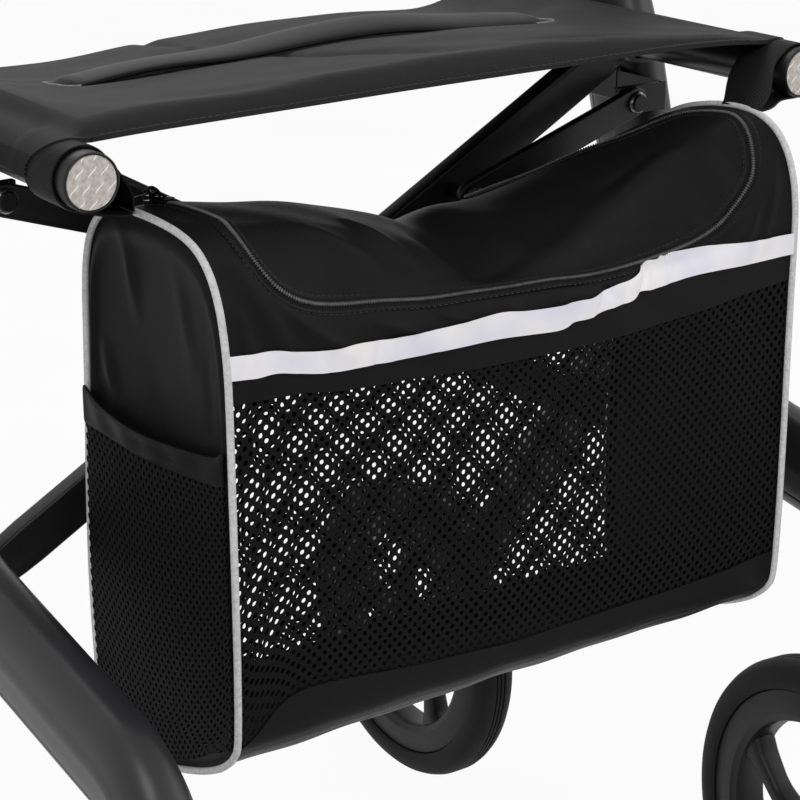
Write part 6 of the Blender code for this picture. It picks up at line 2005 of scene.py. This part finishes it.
def side_pocket(side):
    """Netting pocket on an end of the bag, with a folded cloth hem along its mouth."""
    sign = SIDES[side]
    place = pocket_place(sign)
    pitch, row, hole = sizes().netting_pitch * 0.92, sizes().netting_row, sizes().netting_hole * 0.9
    lattice = netting(0.0, POCKET_WIDTH, POCKET_HEIGHT, pitch, row, hole)
    shape, uv = netting_mesh(lattice, place, CLOTH_WALL)
    crumple(make_piece(
        f"pocket_netting_{side}", shape, mesh_polyester(), "bag", uv, smooth=50
    ))
    a, v = np.meshgrid(np.linspace(0, POCKET_WIDTH, 90), np.linspace(0, 1, 16))
    at_mouth = place(a, np.full_like(a, POCKET_HEIGHT), 0.0)
    top, low = along(POCKET, 1, at_mouth[..., 1]), along(POCKET, 2, at_mouth[..., 1])
    z = low - 0.001 + (top - low + 0.001) * v
    puff = 0.0008 + 0.0009 * np.sin(np.pi * v) ** 0.5 + 0.0006 * np.sin(a * 210) * np.sin(np.pi * v)
    away = 0.0035 * smooth((v - 0.2) / 0.8) * np.sin(np.pi * a / POCKET_WIDTH)
    outer = at_mouth.copy()
    outer[..., 2] = z
    outer[..., 0] += sign * (puff + away)
    inner = outer.copy()
    inner[..., 0] -= sign * 0.0014
    shape, uv = sheet_of(outer, inner, np.stack([a, v * 0.015], axis=-1))
    crumple(make_piece(f"pocket_hem_{side}", shape, bag_nylon(), "bag", uv))


# Stage


def seen_directly(tree, path):
    """One for rays from the camera and from mirrors, zero for the others."""
    seen = {0: path.outputs["Is Camera Ray"], 1: path.outputs["Is Glossy Ray"]}
    return add_node(tree, "ShaderNodeMath", seen, operation="MAXIMUM").outputs[0]


@surface
def studio_paper():
    """Matt white paper sweep; the camera, mirrors and glass see it as plain white."""
    made = bpy.data.materials.new("matt white studio paper")
    made.use_nodes = True
    tree = made.node_tree
    tree.nodes.clear()
    grain = add_node(tree, "ShaderNodeTexNoise", {"Vector": object_coordinates(tree), "Scale": 3.0})
    ramp = add_node(tree, "ShaderNodeValToRGB", {"Fac": grain.outputs["Fac"]})
    ramp.color_ramp.elements[0].color = (*linear("#fafafa"), 1.0)
    ramp.color_ramp.elements[1].color = (*linear("#ffffff"), 1.0)
    paper = add_node(tree, "ShaderNodeBsdfDiffuse", {"Color": ramp.outputs["Color"]})
    glow = add_node(tree, "ShaderNodeEmission", {"Color": ramp.outputs["Color"], "Strength": 1.0})
    seen = seen_directly(tree, add_node(tree, "ShaderNodeLightPath"))
    share = add_node(tree, "ShaderNodeMath", {0: seen, 1: 0.97}, operation="MULTIPLY")
    mix = add_node(
        tree,
        "ShaderNodeMixShader",
        {0: share.outputs[0], 1: paper.outputs["BSDF"], 2: glow.outputs["Emission"]},
    )
    output = add_node(tree, "ShaderNodeOutputMaterial")
    tree.links.new(mix.outputs["Shader"], output.inputs["Surface"])
    return made


def surroundings():
    """White world: full white to the camera, mirrors and glass, a dimmer fill for the rest."""
    world = bpy.data.worlds.new("studio")
    world.use_nodes = True
    bpy.context.scene.world = world
    tree = world.node_tree
    tree.nodes.clear()
    path = add_node(tree, "ShaderNodeLightPath")
    rays = {0: seen_directly(tree, path), 1: path.outputs["Is Transmission Ray"]}
    seen = add_node(tree, "ShaderNodeMath", rays, operation="MAXIMUM")
    white = (1.0, 1.0, 1.0, 1.0)
    fill = add_node(tree, "ShaderNodeBackground", {"Color": white, "Strength": 0.36})
    bright = add_node(tree, "ShaderNodeBackground", {"Color": white, "Strength": 1.0})
    mix = add_node(
        tree,
        "ShaderNodeMixShader",
        {0: seen.outputs[0], 1: fill.outputs["Background"], 2: bright.outputs["Background"]},
    )
    output = add_node(tree, "ShaderNodeOutputWorld")
    tree.links.new(mix.outputs["Shader"], output.inputs["Surface"])


def stage():
    """Pale floor, white surroundings and three soft lamps."""
    scene = bpy.context.scene
    mesh = bpy.data.meshes.new("floor")
    mesh.from_pydata([(-40, -40, 0), (40, -40, 0), (40, 40, 0), (-40, 40, 0)], [], [(0, 1, 2, 3)])
    mesh.materials.append(studio_paper())
    floor = bpy.data.objects.new("floor", mesh)
    scene.collection.objects.link(floor)
    surroundings()
    for name, place, target, size, power in (
        ("key lamp", (-1.6, -1.6, 2.6), (0, -0.1, 0.45), 1.6, 42.0),
        ("fill lamp", (1.9, -1.5, 1.6), (0, -0.1, 0.45), 1.6, 16.0),
        ("rim lamp", (0.2, 1.8, 2.6), (0, 0, 0.5), 1.4, 22.0),
    ):
        lamp = bpy.data.lights.new(name, "AREA")
        lamp.size = size
        lamp.energy = power
        holder = bpy.data.objects.new(name, lamp)
        scene.collection.objects.link(holder)
        holder.location = place
        holder.rotation_euler = turn_toward(np.subtract(target, place))
    scene.view_settings.view_transform = "Standard"


def turn_toward(direction):
    """Rotation of a lamp or camera that looks along a direction."""
    return Vector([float(v) for v in direction]).to_track_quat("-Z", "Y").to_euler()


CAMERA_PLACE = (-0.6810, -1.0798, 0.8615)
CAMERA_LOOK = (0.5407, 0.7722, -0.3338)
CAMERA_LENS = 100.0


def camera():
    """The photograph's view: a long lens from the front left, a little above the seat."""
    scene = bpy.context.scene
    made = bpy.data.cameras.new("camera")
    made.lens = CAMERA_LENS
    made.sensor_width = 36.0
    made.dof.use_dof = False
    holder = bpy.data.objects.new("camera", made)
    scene.collection.objects.link(holder)
    holder.location = CAMERA_PLACE
    holder.rotation_euler = turn_toward(CAMERA_LOOK)
    scene.camera = holder


# Add-on


def length_property(name, description, default):
    return bpy.props.FloatProperty(
        name=name, description=description, default=default, min=0.0, unit="LENGTH", subtype="DISTANCE"
    )


def colour_property(name, description, code):
    return bpy.props.FloatVectorProperty(
        name=name, description=description, default=linear(code),
        size=3, min=0.0, max=1.0, subtype="COLOR",
    )


class RollatorSizes(bpy.types.PropertyGroup):
    """Sizes that a user may change."""

    netting_pitch: length_property("Netting pitch", "Distance between holes along a row", 0.0062)
    netting_row: length_property("Netting row", "Distance between rows of holes", 0.0032)
    netting_hole: length_property("Netting hole", "Width of a hole", 0.0027)
    netting_wall: length_property("Netting thickness", "Thickness of the netting", 0.0007)
    back_stretch: bpy.props.FloatProperty(
        name="Back stretch",
        description="How much wider the back's netting is knitted",
        default=1.5,
        min=1.0,
    )
    tooth_pitch: length_property("Tooth pitch", "Distance between teeth of the zip", 0.0015)
    cap_overlap: length_property("Cap overlap", "How far a rail cap reaches back over the rail", 0.0045)
    piping_radius: length_property("Piping radius", "Radius of the reflective piping", 0.0019)


class RollatorColours(bpy.types.PropertyGroup):
    """Colours that a user may change."""

    carbon: colour_property("Carbon", "Clear-coated carbon of the side frames", "#252527")
    metal: colour_property("Coated metal", "Powder-coated bars and forks", "#121212")
    plastic: colour_property("Moulded plastic", "Caps, wheels and housings", "#131313")
    rubber: colour_property("Rubber", "Tyres", "#101010")
    steel: colour_property("Steel", "Bearings and axles", "#8f9194")
    nylon: colour_property("Bag cloth", "Coated nylon of the bag", "#141415")
    netting: colour_property("Netting", "Knitted netting of the bag", "#111112")
    # Near white: the tape's silver colour together with painted reflection of its glass beads' glare.
    tape: colour_property("Reflective tape", "Strip across the bag", "#e8e6ea")
    binding: colour_property("Binding", "Binding of the seat's slots", "#77777a")
    piping: colour_property("Piping", "Piping round the bag's ends", "#cacaca")
    webbing: colour_property("Webbing", "Straps", "#171717")
    seat: colour_property("Seat cloth", "Oxford cloth of the seat", "#29292a")
    knit: colour_property("Sleeve", "Knitted ends of the seat's sleeves", "#222223")
    thread: colour_property("Thread", "Sewing thread", "#2a2a2b")
    rail: colour_property("Seat rail", "Coated tubes under the seat", "#242425")
    foil: colour_property("Reflector", "Prismatic foil of the rails' ends", "#b5aca6")
    zip: colour_property("Zip tape", "Tape of the zip", "#151515")
    coil: colour_property("Zip coil", "Teeth of the zip", "#4c4c4c")


def dress_bare_parts():
    """Give every CAD part that stays in sight the material of its slot."""
    finishes = {
        "carbon": coated_carbon, "black_metal": coated_aluminium, "black_plastic": moulded_nylon,
        "rubber": moulded_tyre, "steel": plated_steel,
    }
    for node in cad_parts.values():
        if node.hide_render:
            continue
        for slot in node.material_slots:
            for key, make in finishes.items():
                if slot.material and key in slot.material.name:
                    slot.material = make()


class Builder:
    """What every operator does: run its own build"""

    def execute(self, context):
        self.build()
        return {"FINISHED"}


class ROLLATOR_OT_stage(Builder, bpy.types.Operator):
    """Make the floor, the lamps and the camera"""

    bl_idname = "rollator.stage"
    bl_label = "Stage"

    def build(self):
        camera()
        stage()


class ROLLATOR_OT_frames(Builder, bpy.types.Operator):
    """Make both carbon side frames"""

    bl_idname = "rollator.frames"
    bl_label = "Side frames"

    def build(self):
        for side in SIDES:
            carbon_frame(side)


class ROLLATOR_OT_wheels(Builder, bpy.types.Operator):
    """Make the wheels, tyres and caster forks"""

    bl_idname = "rollator.wheels"
    bl_label = "Wheels"

    def build(self):
        wheels()
        for side in SIDES:
            caster_fork(side)


class ROLLATOR_OT_brace(Builder, bpy.types.Operator):
    """Make the folding brace, its links, the seat rails and their reflectors"""

    bl_idname = "rollator.brace"
    bl_label = "Brace and rails"

    def build(self):
        for name in BRACE_FEET:
            brace_bar(name)
        fasteners()
        for side in SIDES:
            stabiliser_link(side)
            seat_rail(side)


class ROLLATOR_OT_handles(Builder, bpy.types.Operator):
    """Make the handles, grips, knobs and brake levers"""

    bl_idname = "rollator.handles"
    bl_label = "Handles"

    def build(self):
        for side in SIDES:
            handle_tube(side)
            height_knob(side)
            hand_grip(side)
            brake_lever(side)


class ROLLATOR_OT_seat(Builder, bpy.types.Operator):
    """Make the padded seat and its pull strap"""

    bl_idname = "rollator.seat"
    bl_label = "Seat"

    def build(self):
        seat()


class ROLLATOR_OT_bag(Builder, bpy.types.Operator):
    """Make the bag with its netting, strips, piping, zip, pockets and straps"""

    bl_idname = "rollator.bag"
    bl_label = "Bag"

    def build(self):
        bag_upper()
        bag_lower()
        bag_netting()
        reflective_strip()
        bag_zip()
        for side in SIDES:
            bag_piping(side)
            bag_end(side)
            side_pocket(side)
            webbing(side)


class ROLLATOR_OT_finishes(Builder, bpy.types.Operator):
    """Give the CAD parts that stay in sight their materials"""

    bl_idname = "rollator.finishes"
    bl_label = "Finishes"

    def build(self):
        dress_bare_parts()


OPERATORS = (
    ROLLATOR_OT_stage, ROLLATOR_OT_frames, ROLLATOR_OT_wheels, ROLLATOR_OT_brace, ROLLATOR_OT_handles,
    ROLLATOR_OT_seat, ROLLATOR_OT_bag, ROLLATOR_OT_finishes,
)


class ROLLATOR_PT_panel(bpy.types.Panel):
    """Lists the pieces of the rollator"""

    bl_label = "Carbon rollator"
    bl_idname = "ROLLATOR_PT_panel"
    bl_space_type = "VIEW_3D"
    bl_region_type = "UI"
    bl_category = "Rollator"

    def draw(self, context):
        for operator in OPERATORS:
            self.layout.operator(operator.bl_idname)


CLASSES = (RollatorSizes, RollatorColours, *OPERATORS, ROLLATOR_PT_panel)


def register():
    for item in CLASSES:
        bpy.utils.register_class(item)
    bpy.types.Scene.rollator_sizes = bpy.props.PointerProperty(type=RollatorSizes)
    bpy.types.Scene.rollator_colours = bpy.props.PointerProperty(type=RollatorColours)


def unregister():
    del bpy.types.Scene.rollator_colours
    del bpy.types.Scene.rollator_sizes
    for item in reversed(CLASSES):
        bpy.utils.unregister_class(item)


def main():
    register()
    bpy.ops.rollator.stage()
    bpy.ops.rollator.frames()
    bpy.ops.rollator.wheels()
    bpy.ops.rollator.brace()
    bpy.ops.rollator.handles()
    bpy.ops.rollator.seat()
    bpy.ops.rollator.bag()
    bpy.ops.rollator.finishes()


if __name__ == "__main__":
    main()
